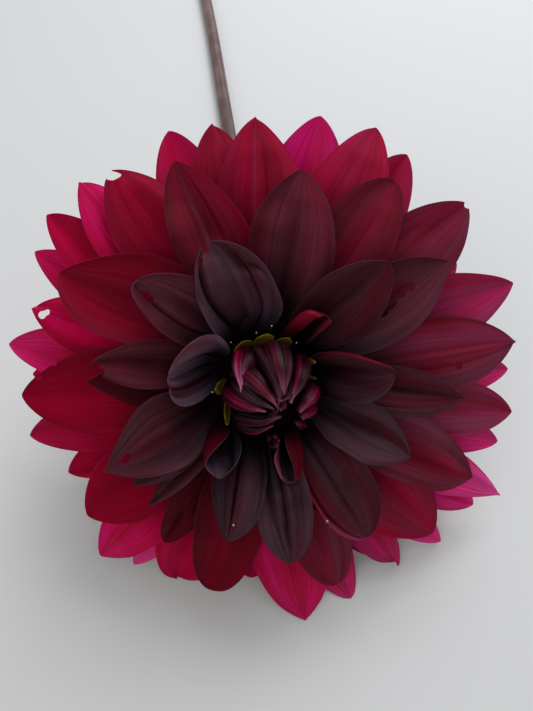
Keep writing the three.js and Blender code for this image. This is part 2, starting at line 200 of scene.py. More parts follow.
def lightScene():
    scene = bpy.context.scene
    scene.view_settings.view_transform = "Standard"
    scene.world = bpy.data.worlds.new("paleSky")
    scene.world.use_nodes = True
    sky = scene.world.node_tree.nodes["Background"].inputs
    sky["Color"].default_value, sky["Strength"].default_value = toLinear(studio["sky"]), studio["skyStrength"]
    for name, place, size, watts, colour in studio["lamps"]:
        clearSelection()
        bpy.ops.object.light_add(type="AREA", location=place)
        lamp = bpy.context.object
        lamp.name = name
        lamp.data.size, lamp.data.energy, lamp.data.color = size, watts, toLinear(colour)[:3]
        pointAlong(lamp, Vector(studio["aim"]) - Vector(place), "-Z")
    clearSelection()
    bpy.ops.mesh.primitive_plane_add(size=studio["floorSide"], location=(0, 0, 0))
    floor = bpy.context.object
    floor.name = "floor"
    material, add = startMaterial("paleFloor")  # a matt painted board, a little uneven in tone
    grain = add("TexNoise", {"Scale": 7.0, "Detail": 4.0})
    tone = add("ValToRGB", {"Fac": grain}, zip((0.3, 0.7), studio["floor"]))
    floor.data.materials.append(finishMaterial(material, add, {"Base Color": tone, "Roughness": 0.75}))


makeCamera()
lightScene()
print("camera and light are set")

# Petals

petal = {
    "thickness": 0.28,
    "clawShare": 0.24,  # width of a petal's root beside its full width
    "clawSwell": 1.3,
    "lowRoot": -6,
    "rootRise": 0.36,
    "widestAt": 0.57,
    "shoulder": 2.1,  # how far it keeps its width towards the tip
    "tipRounding": 0.74,
    "tipShare": 0.025,
    "curveHandle": 0.36,
    "cupAtRoot": 1.25,
    "cupAtTip": 0.7,
    "cupSeat": 0.35,
    "rollFrom": 0.45,  # where a rolled edge begins, beside half the width
    "pinch": 0.45,  # how much deeper the channel gets in the last of the tip
    "grid": (36, 52),  # across and along
    "hiddenGrid": (12, 22),
    "shown": 0.96,  # the rest of the root is left out
    "rowsToTip": 1.2,  # how much closer the rows get towards the tip
    "groove": 0.55,  # depth of the line down the middle
    "lobe": (0.5, 1.1),  # how far each half of a petal bulges
    "pleatsAt": (0.36, 0.68),
    "pleat": (0.15, 0.5),  # least and greatest depth of the long soft folds
    "ripple": (0.2, 0.7),  # how far the edges wave up and down
    "wobble": 0.035,  # how unevenly each edge runs, beside half the width
    "layerGap": 1.8,  # between a petal and those under it
    "mostLift": 7,
    "heldFrom": 0.38,
    "biteMargin": 0.25,
    "crumbHeight": 0.3,
}

# For each whorl: radius of its roots, the angles at which its petals leave the receptacle and end, its tone,
# and how much redder a petal is for each millimetre that its tip lies below a height
whorls = {
    "back": (12.5, -16, -40, 1, 0, 0),
    "rear": (13.4, -2, -26, 0.92, 0, 0),
    "outer": (13.8, 20, -20, 0.82, 0.006, -3),
    "middle": (13, 44, -14, 0.55, 0.012, 14),
    "inner": (16, 66, 4, 0.24, 0.012, 30),
    "heart": (17.4, 84, 20, 0.1, 0, 0),
}

# Each petal of the face: clock angle, reach, width, height of its tip, cup in degrees, swing of its tip, and
# what sets it apart:
# tone runs from the darkest maroon, 0, to magenta, 1; cool is how much painted sheen it takes, a
# mauve haze of sky light, and light how much painted light it gets
# flush reddens its anticlockwise and clockwise sides, and pale is how far pink streaks reach in from the tip
# dusk is how far out it lies in shade
# crease folds it along its middle, and roll turns its anticlockwise and clockwise edges in, in degrees
# hook lifts the last of its tip, in millimetres; point is how sharp the tip is, and full how far the petal
# keeps its width towards it
# ripple, lobe and groove scale the waves of its edges, the bulge of its halves and the line down its middle
# net names its places in rolledPetals
# folds are (place across, half width, height in millimetres); bright lightens a band with painted
# light, or darkens it with painted shade where its amount is below zero, and mist gives one more painted
# sheen, each (place across, half width, amount)
# nibbles are where insects have bitten, and flecks are dried crumbs: (place along, place across, radius in
# millimetres)
facePetals = {
    "heart": [
        (308, 30, 31, 34, 56, -6, dict(net="left", tone=0.1, cool=1.6, ripple=0.3, lobe=0.5, groove=0,
            light=2.6, bright=[(0.75, 0.25, 0.25)], folds=[(0.42, 0.04, -1.2), (0.05, 0.07, -1.5),
            (-0.3, 0.05, -1.2), (-0.55, 0.03, -0.5), (0.22, 0.02, -0.6)])),
        (226, 31, 22, 33, 118, -2, dict(net="lowerLeft", tone=0.06, cool=1.3, ripple=0.2, lobe=0.2,
            light=1.3, groove=0, flush=(0, 0.2), bright=[(-0.8, 0.25, 0.4), (0.15, 0.25, 0.5),
            (-0.4, 0.12, -0.7)])),
        (166, 27, 19, 32, 128, 2, dict(net="lowerRight", tone=0.3, cool=1.2, ripple=0.2, lobe=0.2,
            light=1.3, groove=0, bright=[(0.85, 0.15, 1), (-0.75, 0.08, 0.6), (-0.5, 0.06, -0.5)])),
        (34, 30.5, 21, 37, 140, 3, dict(net="upperRight", tone=0.5, cool=0.4, ripple=0.3, lobe=0.3,
            groove=0, light=0.85, bright=[(-0.75, 0.08, 0.6), (-0.5, 0.05, -0.5)],
            folds=[(-0.62, 0.05, -0.5), (-0.85, 0.04, 0.4)])),
    ],
    "inner": [
        (351.5, 47.8, 31, 34, 54, -5, dict(tone=0.2, hook=2, roll=(75, 15), cool=1.3, light=1.2, point=0.72,
            folds=[(-0.5, 0.06, -2.2), (0.1, 0.05, -0.7), (0.45, 0.04, -0.9)], bright=[(-0.5, 0.05, -0.6),
            (0.3, 0.05, -0.2), (-0.75, 0.12, 0.2)], nibbles=[(0.98, -0.5, 2), (0.9, -0.52, 1.2),
            (0.85, -0.52, 1)])),
        (45, 53, 23, 34, 42, 3, dict(tone=0.27, crease=0.4, full=1.2)),
        (81, 39, 22, 35, 58, 4, dict(tone=0.14, roll=(60, 0), flush=(0.3, 0), hook=-2.2,
            mist=[(-0.95, 0.06, 0.6)])),
        (117, 48, 20, 34, 45, 3, dict(tone=0.16, cool=1.25, roll=(0, 30), point=1.15, full=1.4, light=1.1)),
        (178.5, 54.5, 20, 32, 34, 0, dict(tone=0.2, cool=1, crease=0.3, point=0.82, roll=(30, 40),
            mist=[(0.45, 0.08, 0.5), (-0.3, 0.06, 0.4), (0.1, 0.03, 0.5)], bright=[(-0.05, 0.04, -0.35),
            (0.3, 0.05, -0.25)], folds=[(-0.25, 0.06, 0.9), (0.12, 0.05, 0.8), (-0.05, 0.04, -0.9)])),
        (205, 47.5, 19.5, 32, 42, -3, dict(tone=0.2, cool=0.9, crease=0.6, point=1, roll=(20, 30),
            folds=[(0.3, 0.05, 0.8), (0.05, 0.05, -2)], light=0.95, bright=[(0.05, 0.05, -0.6)],
            flecks=[(0.87, -0.12, 0.36)])),
        (257, 53.5, 25, 32, 35, -5, dict(tone=0.27, crease=0.3, point=1.3, cool=0.6, light=1.1,
            nibbles=[(0.86, -0.08, 1.3), (0.85, 0, 1.2)])),
        (298, 52, 18, 31, 40, -10, dict(tone=0.3, cool=0.35, light=1.15, nibbles=[(0.97, -0.5, 1.3),
            (0.93, -0.75, 1.1)])),
        (336, 48.5, 27, 32.5, 38, -15, dict(tone=0.34, roll=(70, 20), crease=0.3, cool=0.75, light=1.15,
            point=0.7, folds=[(-0.5, 0.05, -1.6), (0.3, 0.05, -0.8)], nibbles=[(0.905, -0.46, 1.2),
            (0.88, -0.46, 1.25), (0.855, -0.46, 1.1)])),
        (150, 58, 27, 29, 36, 2, dict(tone=0.26, cool=0.7, roll=(0, 110), flush=(0, 0.25), point=0.8,
            folds=[(0.55, 0.06, -1.2), (0, 0.04, -0.6)], bright=[(0.58, 0.06, -0.5), (0.85, 0.12, 0.4)],
            flecks=[(0.34, 0.93, 0.5), (0.37, 0.97, 0.4), (0.41, 0.95, 0.2), (0.46, 0.97, 0.2),
            (0.51, 0.95, 0.2), (0.55, 0.97, 0.2), (0.75, 0.93, 0.5)])),
        (96, 63, 18, 28, 40, 3, dict(tone=0.27, crease=0.4, point=1.3, full=1.4)),
        (59, 69, 25, 28, 32, 2, dict(tone=0.3, crease=0.4, point=1.3, full=1.45, cool=0.85, light=1.05,
            nibbles=[(0.78, -0.02, 1.8), (0.73, -0.04, 2.6), (0.66, 0, 3.1), (0.6, 0.04, 3.3),
            (0.54, 0.08, 3.3)])),
        (279, 54.5, 16, 25, 45, 1, dict(hook=2, point=1.2)),
        (241, 51, 13, 25, 40, 0, dict(tone=0.2, cool=0.6)),
        (231, 53, 10, 20, 40, 0, dict(tone=0.2, cool=0.6, point=1.3)),
        (163, 44, 14, 24, 45, 0),
    ],
    "middle": [
        (17.5, 69, 30, 20, 42, -2, dict(tone=0.4, crease=0.35, point=1.1, cool=0.6, light=1.1)),
        (349.5, 75, 25, 18, 40, -6, dict(tone=0.46, crease=0.6, ripple=1.6, flush=(0, 0.25),
            folds=[(-0.1, 0.03, 0.8), (0.3, 0.05, -1)], mist=[(-0.15, 0.05, 0.6)])),
        (34.5, 78, 27, 16, 45, 5, dict(tone=0.48, crease=0.9, point=0.85, folds=[(0.15, 0.04, -0.9)])),
        (323, 70, 36, 17, 40, -21, dict(tone=0.58)),
        (276.5, 78, 29, 13, 34, -3, dict(tone=0.64, light=0.85, cool=0, nibbles=[(0.92, 0.9, 1.1),
            (0.84, 1, 0.9)])),
        (241, 74, 30, 12, 36, -2, dict(tone=0.64, cool=0, dusk=0.95, light=1.05)),
        (218, 64, 15, 13, 40, 0, dict(tone=0.36, cool=0, point=0.8)),
        (201, 74.5, 25, 14, 30, -2, dict(tone=0.44, cool=0, point=0.75)),
        (166.5, 77.5, 24, 13, 35, 0, dict(tone=0.48, crease=0.4, cool=0.5, point=0.8,
            folds=[(-0.2, 0.05, 0.7)], mist=[(-0.4, 0.16, 0.7)])),
        (119, 81, 24, 15, 30, 3, dict(tone=0.46, point=1.2, full=1.4, cool=0.6)),
        (137, 84, 32, 10, 30, 2, dict(tone=0.6, light=1.05)),
        (85.5, 88, 29, 13, 30, 3, dict(tone=0.55, point=1.2, full=1.2, cool=1, folds=[(0, 0.05, 0.7)],
            nibbles=[(0.72, 0.35, 1.4)])),
        (103.5, 91.5, 24, 8, 30, 1, dict(tone=0.58, point=1.1, full=1.3, cool=0.9, light=1.15)),
        (53.5, 91.5, 28, 11, 30, 3, dict(tone=0.57, cool=0.7, light=1.2, dusk=1.6,
            nibbles=[(1, 0.1, 1.6)])),
        (74, 94, 27, 9, 30, 2, dict(tone=0.7, cool=1, light=1.2, point=1.1, folds=[(0.1, 0.05, 0.6)])),
    ],
    "outer": [
        (5, 86.8, 30, 3, 35, 0, dict(tone=0.66, light=0.95, crease=0.4, hook=1.5, folds=[(-0.12, 0.04, 0.8),
            (0.16, 0.05, -0.8)], mist=[(-0.12, 0.05, 0.5)])),
        (30.5, 95, 30, 1, 30, 1, dict(tone=0.72)),
        (18.7, 93.3, 29, -3, 38, 1, dict(tone=0.93, crease=0.5)),
        (41.3, 95.3, 27, -5, 35, -2, dict(tone=0.74)),
        (355, 87.5, 26, -1, 40, 1, dict(tone=0.62, crease=0.3)),
        (345, 90.2, 27, -4, 35, 2, dict(tone=0.8)),
        (333, 86, 29, 1, 30, -3, dict(tone=0.68, light=0.95, nibbles=[(0.985, 0.02, 2.9)])),
        (321.5, 90, 24, -3, 38, 4, dict(tone=0.88, cool=0, crease=0.7, pale=0.1)),
        (311.5, 92, 23, -5, 35, 4, dict(tone=0.8)),
        (305, 90, 20, -8, 35, 1, dict(tone=0.9, cool=0, pale=0.1, light=1.1)),
        (294, 81.5, 23, -4, 38, 0, dict(tone=0.8, nibbles=[(0.94, -0.25, 1.5), (0.93, 0.05, 1.3)])),
        (284, 89, 22, -6, 40, 0, dict(tone=0.92, pale=0.25, light=1.1)),
        (276, 82, 20, -10, 30, 1),
        (262, 85, 22, -5, 38, 0, dict(tone=0.8, pale=0.1, light=0.9)),
        (249, 79.5, 20, -9, 30, 0, dict(tone=0.76)),
        (239, 80, 22, -7, 35, 0),
        (227.5, 90, 24, -5, 30, 0, dict(tone=0.9, cool=0, pale=0.12, dusk=0.8)),
        (219, 87.5, 18, -8, 40, 0, dict(tone=1, pale=0.9, crease=0.3, light=1.25)),
        (209, 84.5, 30, -6, 30, -2, dict(tone=0.8, point=0.6)),
        (188, 82, 24, -7, 30, 0),
        (177, 97, 31, 1, 32, -1, dict(tone=0.86, cool=0.1, crease=0.5, pale=0.2, point=1.3)),
        (165.5, 96, 21, -2, 38, 0, dict(tone=0.85, pale=0.35, crease=0.4, light=0.9)),
        (154, 87, 18, -5, 36, 0),
        (151, 91, 18, -2, 45, 0, dict(tone=0.85, pale=0.3, crease=0.6, light=0.75)),
        (140, 98, 19, -4, 40, 0, dict(tone=0.95, pale=0.5, crease=0.4, light=1.2)),
        (128, 97, 22, -1, 42, 0, dict(tone=0.92, pale=0.25, crease=0.6, light=1.15)),
        (123, 102, 21, 2, 45, 0, dict(tone=1, pale=0.95, crease=0.6, point=1.3)),
        (112.5, 95.8, 20, -3, 42, 0, dict(tone=0.93, pale=0.35, crease=0.5)),
        (95.5, 95, 20, -4, 42, 0, dict(tone=0.88, pale=0.3, crease=0.4)),
        (67, 84, 22, -5, 40, 0),
    ],
}
# Four young petals round the bud are still partly rolled. Each is a net of places in the bloom's frame,
# with four rows from root to tip and five places across, the anticlockwise edge first.
rolledPetals = {
    "left": [
        [(-15, 4, 9), (-15, 6, 7), (-14, 8, 7), (-13, 10, 7), (-12, 11, 9)],
        [(-18, 0, 20), (-19, 3, 16), (-19, 8, 15), (-17, 13, 16), (-10, 15, 25)],
        [(-25, -1, 29), (-26, 2, 26), (-25, 7, 25), (-22, 13, 25), (-15, 20, 33)],
        [(-29, 5, 32), (-29, 6, 32), (-29, 8, 33), (-28, 11, 34), (-26, 14, 35)],
    ],
    "lowerLeft": [
        [(-13, -10, 12), (-14, -11, 8), (-16, -11, 7), (-18, -10, 9), (-15, -9, 16)],
        [(-10, -14, 27), (-12, -17, 22), (-17, -18, 19), (-21, -15, 21), (-14, -12, 30)],
        [(-11, -18, 34), (-13, -21, 31), (-17, -22, 29), (-21, -19, 31), (-20, -16, 35)],
        [(-16, -22, 36), (-16, -23, 35), (-17, -23, 35), (-18, -23, 35), (-18, -22, 36)],
    ],
    "lowerRight": [
        [(8, -14, 15), (9, -15, 8), (7, -16, 7), (6, -15, 8), (5, -14, 12)],
        [(4, -16, 29), (10, -20, 17), (7, -22, 9), (4, -20, 14), (2, -18, 26)],
        [(5, -22, 31), (10, -26, 21), (7, -27, 16), (3, -25, 21), (0, -20, 31)],
        [(5, -27, 34), (6, -28, 32), (4, -29, 31), (2, -28, 31), (1, -26, 34)],
    ],
    "upperRight": [
        [(10, 13, 15), (7, 16, 12), (12, 13, 7), (13, 12, 8), (13, 11, 14)],
        [(12, 18, 30), (10, 19, 24), (16, 16, 12), (17, 14, 15), (15, 14, 26)],
        [(15, 21, 36), (14, 23, 31), (20, 20, 21), (20, 19, 24), (19, 18, 33)],
        [(16, 22, 38), (18, 22, 36), (19, 22, 35), (20, 21, 35), (20, 20, 37)],
    ],
}
hiddenWhorls = {
    "rear": {"count": 14, "start": 6, "reach": 77, "width": 25, "height": -19, "cup": 32, "vary": 3},
    "back": {"count": 12, "start": 20, "reach": 62, "width": 22, "height": -36, "cup": 32, "vary": 3},
}
crushed = (140, 222)  # clock angles between which the table leaves no room for the back whorl


# Petals with higher tips grow from higher on the receptacle
def rootHeight(tipHeight):
    return petal["lowRoot"] + petal["rootRise"] * tipHeight


def unitAt(degrees):
    return np.array((math.cos(math.radians(degrees)), math.sin(math.radians(degrees))))


def smooth(low, high, value):
    t = np.clip((value - low) / (high - low), 0, 1)
    return t * t * (3 - 2 * t)


# Soft bands across a sheet, each given as (place across, half width, amount)
def bandsAt(across, bands):
    return sum(amount * np.exp(-(((across - place) / wide) ** 2)) for place, wide, amount in bands)


def widthShare(along, point, full):
    widest, root = petal["widestAt"], petal["clawShare"]
    rising = root + (1 - root) * np.sin(np.clip(along / widest, 0, 1) * math.pi / 2) ** petal["clawSwell"]
    beyond = np.clip((along - widest) / (1 - widest), 0, 1)
    taper = (1 - beyond ** (petal["shoulder"] * full / point ** 0.5)) ** (petal["tipRounding"] * point)
    return np.where(along < widest, rising, np.maximum(petal["tipShare"], taper))


# The curve a petal makes across itself, in half widths, at each place along it
def crossSection(along, across, cup, style):
    turn = math.radians(cup) * (petal["cupAtRoot"] + (petal["cupAtTip"] - petal["cupAtRoot"]) * along)
    crease = style.get("crease", 0) * smooth(0.1, 0.4, along) * (1 - 0.6 * smooth(0.8, 1, along))
    pinch = 1 + petal["pinch"] * smooth(0.7, 1, along)
    tilt = turn[:, None] * ((1 - crease)[:, None] * across + crease[:, None] * 0.6 * np.tanh(across / 0.12))
    tilt = tilt * pinch[:, None]
    for side, roll in zip((-1, 1), style.get("roll", (0, 0))):
        edge = np.clip((side * across - petal["rollFrom"]) / (1 - petal["rollFrom"]), 0, 1) ** 1.5
        tilt += side * math.radians(roll) * smooth(0.2, 0.6, along)[:, None] * edge
    middle = (tilt[:, 1:] + tilt[:, :-1]) / 2
    zero = np.zeros((len(along), 1))
    sideways, rise = [np.hstack((zero, np.cumsum(part(middle) * np.diff(across), axis=1)))
                      for part in (np.cos, np.sin)]
    centre = len(across) // 2
    seat = petal["cupSeat"] * (1 - np.cos(turn)) / turn
    return sideways - sideways[:, centre : centre + 1], rise - rise[:, centre : centre + 1] - seat[:, None]


# A petal's middle surface in the bloom's frame, as rows of points along it
def petalSheet(whorl, row, along, across, style):
    clock, reach, width, height, cup, bend = row[:6]
    root, leave, arrive = whorls[whorl][:3]
    start, end = np.array((root, rootHeight(height))), np.array((reach, height))
    handle = petal["curveHandle"] * np.linalg.norm(end - start)
    first, second = start + unitAt(leave) * handle, end - unitAt(arrive) * handle
    s = along[:, None]
    centre = (1 - s) ** 3 * start + 3 * (1 - s) ** 2 * s * first + 3 * (1 - s) * s**2 * second + s**3 * end
    slope = (1 - s) ** 2 * (first - start) + 2 * (1 - s) * s * (second - first) + s**2 * (end - second)
    slope /= np.linalg.norm(slope, axis=1)[:, None]
    half = (width / 2 * widthShare(along, style.get("point", 1), style.get("full", 1)))[:, None]
    sideways, rise = crossSection(along, across, cup, style)
    for side, phase in ((-1, clock * 0.7), (1, clock * 1.3)):  # each edge runs unevenly in its own way
        uneven = petal["wobble"] * np.sin(2 * math.pi * 1.6 * s + phase) * smooth(0.15, 0.4, s)
        sideways = np.where(np.sign(across) == side, sideways * (1 + uneven), sideways)
    sideways = sideways * half + bend * s**2
    rise = rise * half + style.get("hook", 0.6) * smooth(0.84, 1, s) ** 2
    outward = centre[:, :1] - slope[:, 1:] * rise
    upward = centre[:, 1:] + slope[:, :1] * rise
    turn = math.radians(clock)
    x = math.sin(turn) * outward + math.cos(turn) * sideways
    y = math.cos(turn) * outward - math.sin(turn) * sideways
    return np.stack((x, y, upward), axis=-1)


# How much each of a number of evenly spaced places counts at each share of the way along them
def blendWeights(shares, count):
    spots = np.linspace(0, 1, count)
    weights = np.ones((len(shares), count))
    for i in range(count):
        for j in range(count):
            if j != i:
                weights[:, i] *= (shares - spots[j]) / (spots[i] - spots[j])
    return weights


def netSheet(net, along, across):
    weights = blendWeights(along, len(net)), blendWeights((across + 1) / 2, len(net[0]))
    return np.einsum("ia,jb,abk->ijk", *weights, np.array(net))


liftMap = {"reach": 116, "step": 2, "cells": (6, 4), "samples": (31, 17)}
mapSide = math.ceil(2 * liftMap["reach"] / liftMap["step"])
highest = np.full((mapSide, mapSide), -1000.0)


# Which of so many equal cells each share of the way falls in
def cellsOf(shares, count):
    return np.clip(np.floor(shares * count), 0, count - 1).astype(int)


# How far a laid petal is lifted at each crossing of along and across
def liftOf(lifts, along, across):
    rows, columns = liftMap["cells"]
    i, j = cellsOf(along, rows), cellsOf((across + 1) / 2, columns)
    u, v = smooth(0, 1, along * rows - i)[:, None], smooth(0, 1, (across + 1) / 2 * columns - j)[None, :]
    i, j = i[:, None], j[None, :]
    near = lifts[i, j] * (1 - v) + lifts[i, j + 1] * v
    far = lifts[i + 1, j] * (1 - v) + lifts[i + 1, j + 1] * v
    return near * (1 - u) + far * u


# Lays a petal over those already there, and gives how far it is lifted over its grid
def layPetal(whorl, row):
    rows, columns = liftMap["cells"]
    along = petal["heldFrom"] + (1 - petal["heldFrom"]) * np.linspace(0, 1, liftMap["samples"][0])
    across = np.linspace(-1, 1, liftMap["samples"][1])
    free = petalSheet(whorl, row, along, across, {})
    cells = np.floor((free[..., :2] + liftMap["reach"]) / liftMap["step"]).astype(int)
    below = highest[cells[..., 1], cells[..., 0]]
    need = np.minimum(petal["mostLift"], below + petal["layerGap"] - free[..., 2])
    lifts = np.zeros((rows + 1, columns + 1))
    i, j = cellsOf(along, rows)[:, None], cellsOf((across + 1) / 2, columns)[None, :]
    for a in (i, i + 1):
        for b in (j, j + 1):
            np.maximum.at(lifts, (a + 0 * j, b + 0 * i), need)
    laid = free[..., 2] + liftOf(lifts, along, across)
    np.maximum.at(highest, (cells[..., 1], cells[..., 0]), laid)
    return lifts


def surfaceNormals(points):
    normals = np.cross(np.gradient(points, axis=1), np.gradient(points, axis=0))
    return normals / (np.linalg.norm(normals, axis=-1, keepdims=True) + 1e-9)


# The midrib, the bulging halves, the long soft folds and the waves of the edge, in millimetres
def petalRelief(along, across, style, random):
    a, c = along[:, None], across[None, :]
    fade = smooth(0.0, 0.3, a) * (1 - 0.85 * smooth(0.7, 1, a))
    middle = random.uniform(-0.14, 0.14)
    depth, wide = petal["groove"] * style.get("groove", random.uniform(0.1, 0.9)), random.uniform(0.05, 0.12)
    relief = bandsAt(c, [(middle, wide, -depth)]) * fade
    for side in (-1, 1):
        half = np.clip(side * (c - middle) / (1 - side * middle), 0, 1)
        bulge = random.uniform(*petal["lobe"]) * style.get("lobe", 1)
        relief = relief + bulge * np.sin(math.pi * half) ** 0.8 * fade * (0.6 + 0.4 * smooth(0.3, 0.8, a))
        for place in petal["pleatsAt"]:
            spot = middle + side * (place + random.uniform(-0.08, 0.08))
            wide, deep = random.uniform(0.035, 0.09), random.uniform(*petal["pleat"])
            reach = smooth(0, 0.5, a) if random.uniform() < 0.4 else 1 - smooth(0.5, 0.95, a)
            relief = relief - bandsAt(c, [(spot, wide, deep)]) * fade * reach
        wave, start = random.uniform(1.2, 2.4), random.uniform(0, 2 * math.pi)
        swing = style.get("ripple", 1) * random.uniform(*petal["ripple"]) * np.clip(side * c, 0, 1) ** 3
        relief = relief + swing * np.sin(2 * math.pi * wave * a + start) * fade
    return relief + bandsAt(c, style.get("folds", [])) * fade


# Soft uneven areas, from -1 to 1, longer along a petal than across it
def softPatches(along, across, random):
    patches = np.zeros((len(along), len(across)))
    for _ in range(5):
        lengthwise, crosswise = random.uniform(-0.9, 0.9), random.uniform(0.3, 1.1) * random.choice((-1, 1))
        start = random.uniform(0, 2 * math.pi)
        turn = 2 * math.pi * (lengthwise * along[:, None] + crosswise * across[None, :])
        patches = patches + np.sin(turn + start)
    return np.clip(patches / 2.6, -1, 1)


# How red each point of a petal is, how much painted sheen it takes, and how much of its light it keeps
# under painted shade
def petalColours(along, across, style, tone, relief, random):
    a, c = along[:, None], across[None, :]
    left, right = style.get("flush", (0, 0))
    patches, more = softPatches(along, across, random), softPatches(along, across, random)
    redness = tone + 0.07 * patches + left * smooth(0.1, 0.9, -c) + right * smooth(0.1, 0.9, c)
    # darker towards the root, partly the petal's own colour and partly painted shade deep in the bloom
    redness = redness - (0.12 + 0.3 * tone) * (1 - smooth(0.12, 0.62, a)) + 0.05 * smooth(0.6, 0.95, a)
    # painted sheen: a mauve haze of sky light, more of it on ridges, at the edges and towards the tip
    ease = min(1, 0.15 + 1.6 * style["cool"])
    raised = 0.24 * np.clip(relief, -0.5, 0.8) + 0.24 * smooth(0.5, 1, np.abs(c)) * (0.6 + 0.4 * more)
    haze = style["cool"] * (0.55 + 0.45 * more) + ease * (raised + 0.15 * smooth(0.72, 1, a))
    haze = haze + bandsAt(c, style.get("mist", [])) * smooth(0.1, 0.4, a)
    # painted shade: darker towards the root and in folds, lighter on ridges, plus painted light and shade
    # bands
    shade = 0.42 + 0.58 * smooth(0.1, style.get("dusk", 0.5), a) + 0.16 * np.clip(relief, -0.9, 0.5)
    shade = shade + bandsAt(c, style.get("bright", [])) * smooth(0.1, 0.5, a)
    return np.clip(redness, 0, 1), np.clip(haze, 0, 1), np.maximum(0.1, shade * style.get("light", 1))


# Numbers that a material reads from the mesh: one for the whole piece, or one for each vertex
def markPoints(piece, values):
    for name, value in values.items():
        mark = piece.data.attributes.new(name, "FLOAT", "POINT")
        mark.data.foreach_set("value", np.broadcast_to(value, len(piece.data.vertices)).astype(np.float32))


# Bites out of a petal's sheet: the grid inside each circle is deleted, and what borders it is drawn onto
# the circle
def takeBites(piece, bites):
    points = readPoints(piece)
    corners = np.zeros(len(piece.data.polygons) * 4, int)
    piece.data.polygons.foreach_get("vertices", corners)
    corners = corners.reshape(-1, 4)
    gone = np.zeros(len(points), bool)
    for centre, radius in bites:
        away = points - centre
        distance = np.linalg.norm(away, axis=1)
        inside = distance < (radius - petal["biteMargin"]) * mm
        gone |= inside
        border = np.zeros(len(points), bool)
        border[corners[inside[corners].any(axis=1)].ravel()] = True
        border &= ~inside
        points[border] = centre + away[border] / distance[border][:, None] * radius * mm
    writePoints(piece, points)
    mesh = piece.data
    for part, chosen in ((mesh.polygons, False), (mesh.edges, False), (mesh.vertices, gone)):
        part.foreach_set("select", np.broadcast_to(chosen, len(part)))
    setMode("EDIT")
    bpy.ops.mesh.select_mode(type="VERT")
    bpy.ops.mesh.delete(type="VERT")
    bpy.ops.mesh.select_all(action="SELECT")
    bpy.ops.mesh.delete_loose()
    setMode("OBJECT")


# A flat grid to shape, and where its points lie, from -1 to 1 both ways
def startGrid(columns, rows):
    clearSelection()
    bpy.ops.mesh.primitive_grid_add(x_subdivisions=columns, y_subdivisions=rows, size=2)
    piece = bpy.context.object
    return piece, readPoints(piece)


# Gives a sheet its wall; with two materials, the second is for its back
def thicken(piece, thickness, materials):
    for material in materials:
        piece.data.materials.append(material)
    wall = piece.modifiers.new("thickness", "SOLIDIFY")
    wall.thickness, wall.offset, wall.material_offset = thickness * mm, 0, len(materials) - 1
    bpy.ops.object.modifier_apply(modifier=wall.name)


def addBead(place, radius, material, sides, rings):
    clearSelection()
    bpy.ops.mesh.primitive_uv_sphere_add(segments=sides, ring_count=rings, radius=radius * mm, location=place)
    bpy.context.object.data.materials.append(material)
    return bpy.context.object


# One petal from its grid: its sheet with relief, colours, bites and wall, and the crumbs on it
def growPetal(whorl, row, lifts, index):
    hidden = whorl in hiddenWhorls
    random = np.random.default_rng(flower["seed"] + index)
    style = dict(row[6]) if len(row) > 6 else {}
    # petals on the right take more painted sheen by default, as the light comes from the right
    style.setdefault("cool", 0.22 + 0.2 * math.sin(math.radians(row[0])))
    piece, start = startGrid(*petal["hiddenGrid" if hidden else "grid"])
    across = np.unique(np.round(start[:, 0], 5))
    steps = np.unique(np.round(start[:, 1], 5))
    along = 1 - petal["shown"] * (1 - (steps + 1) / 2) ** petal["rowsToTip"]
    if "net" in style:
        sheet = netSheet(rolledPetals[style["net"]], along, across)
    else:
        sheet = petalSheet(whorl, row, along, across, style)
        sheet[..., 2] += liftOf(lifts, along, across)
    relief = petalRelief(along, across, style, random)
    sheet += surfaceNormals(sheet) * relief[..., None]
    placed = toFlower(sheet.reshape(-1, 3)).reshape(sheet.shape)
    i, j = np.searchsorted(steps, start[:, 1] - 1e-4), np.searchsorted(across, start[:, 0] - 1e-4)
    writePoints(piece, placed[i, j])
    tone = style.get("tone", toneOf(whorl, row)) + random.uniform(-0.03, 0.03)
    redness, haze, shade = petalColours(along, across, style, tone, relief, random)
    markPoints(piece, {"tone": redness[i, j], "haze": haze[i, j], "shade": shade[i, j],
                       "pale": style.get("pale", 0)})

    def cellAt(atAlong, atAcross):
        return np.abs(along - atAlong).argmin(), np.abs(across - atAcross).argmin()

    if "nibbles" in style:
        takeBites(piece, [(placed[cellAt(u, v)], radius) for u, v, radius in style["nibbles"]])
    thicken(piece, petal["thickness"], petalMaterials)
    normals = surfaceNormals(placed)
    crumbs = []
    for u, v, radius in style.get("flecks", []):
        spot = placed[cellAt(u, v)] + normals[cellAt(u, v)] * petal["crumbHeight"] * mm
        crumbs.append(addBead(spot, radius, crumbMaterial, 10, 7))
    return [piece, *crumbs]


# The lower a petal lies, the older and redder it is
def toneOf(whorl, row):
    tone, slant, middle = whorls[whorl][3:]
    return float(np.clip(tone + slant * (middle - row[3]), 0, 1))


# The petals that don't show, spread evenly and varied by a small random rule
def hiddenPetals():
    state, limit = flower["seed"], 2**31 - 1
    for whorl, rule in hiddenWhorls.items():
        for i in range(rule["count"]):
            draws = []
            for _ in range(3):
                state = state * 16807 % limit  # a generator that any language can repeat
                draws.append((2 * state / limit - 1) * rule["vary"])
            clock = (rule["start"] + i * 360 / rule["count"] + draws[0]) % 360
            if whorl == "back" and crushed[0] < clock < crushed[1]:
                continue
            reach, height = rule["reach"] + draws[1], rule["height"] + draws[2]
            yield whorl, (clock, reach, rule["width"], height, rule["cup"], 0)


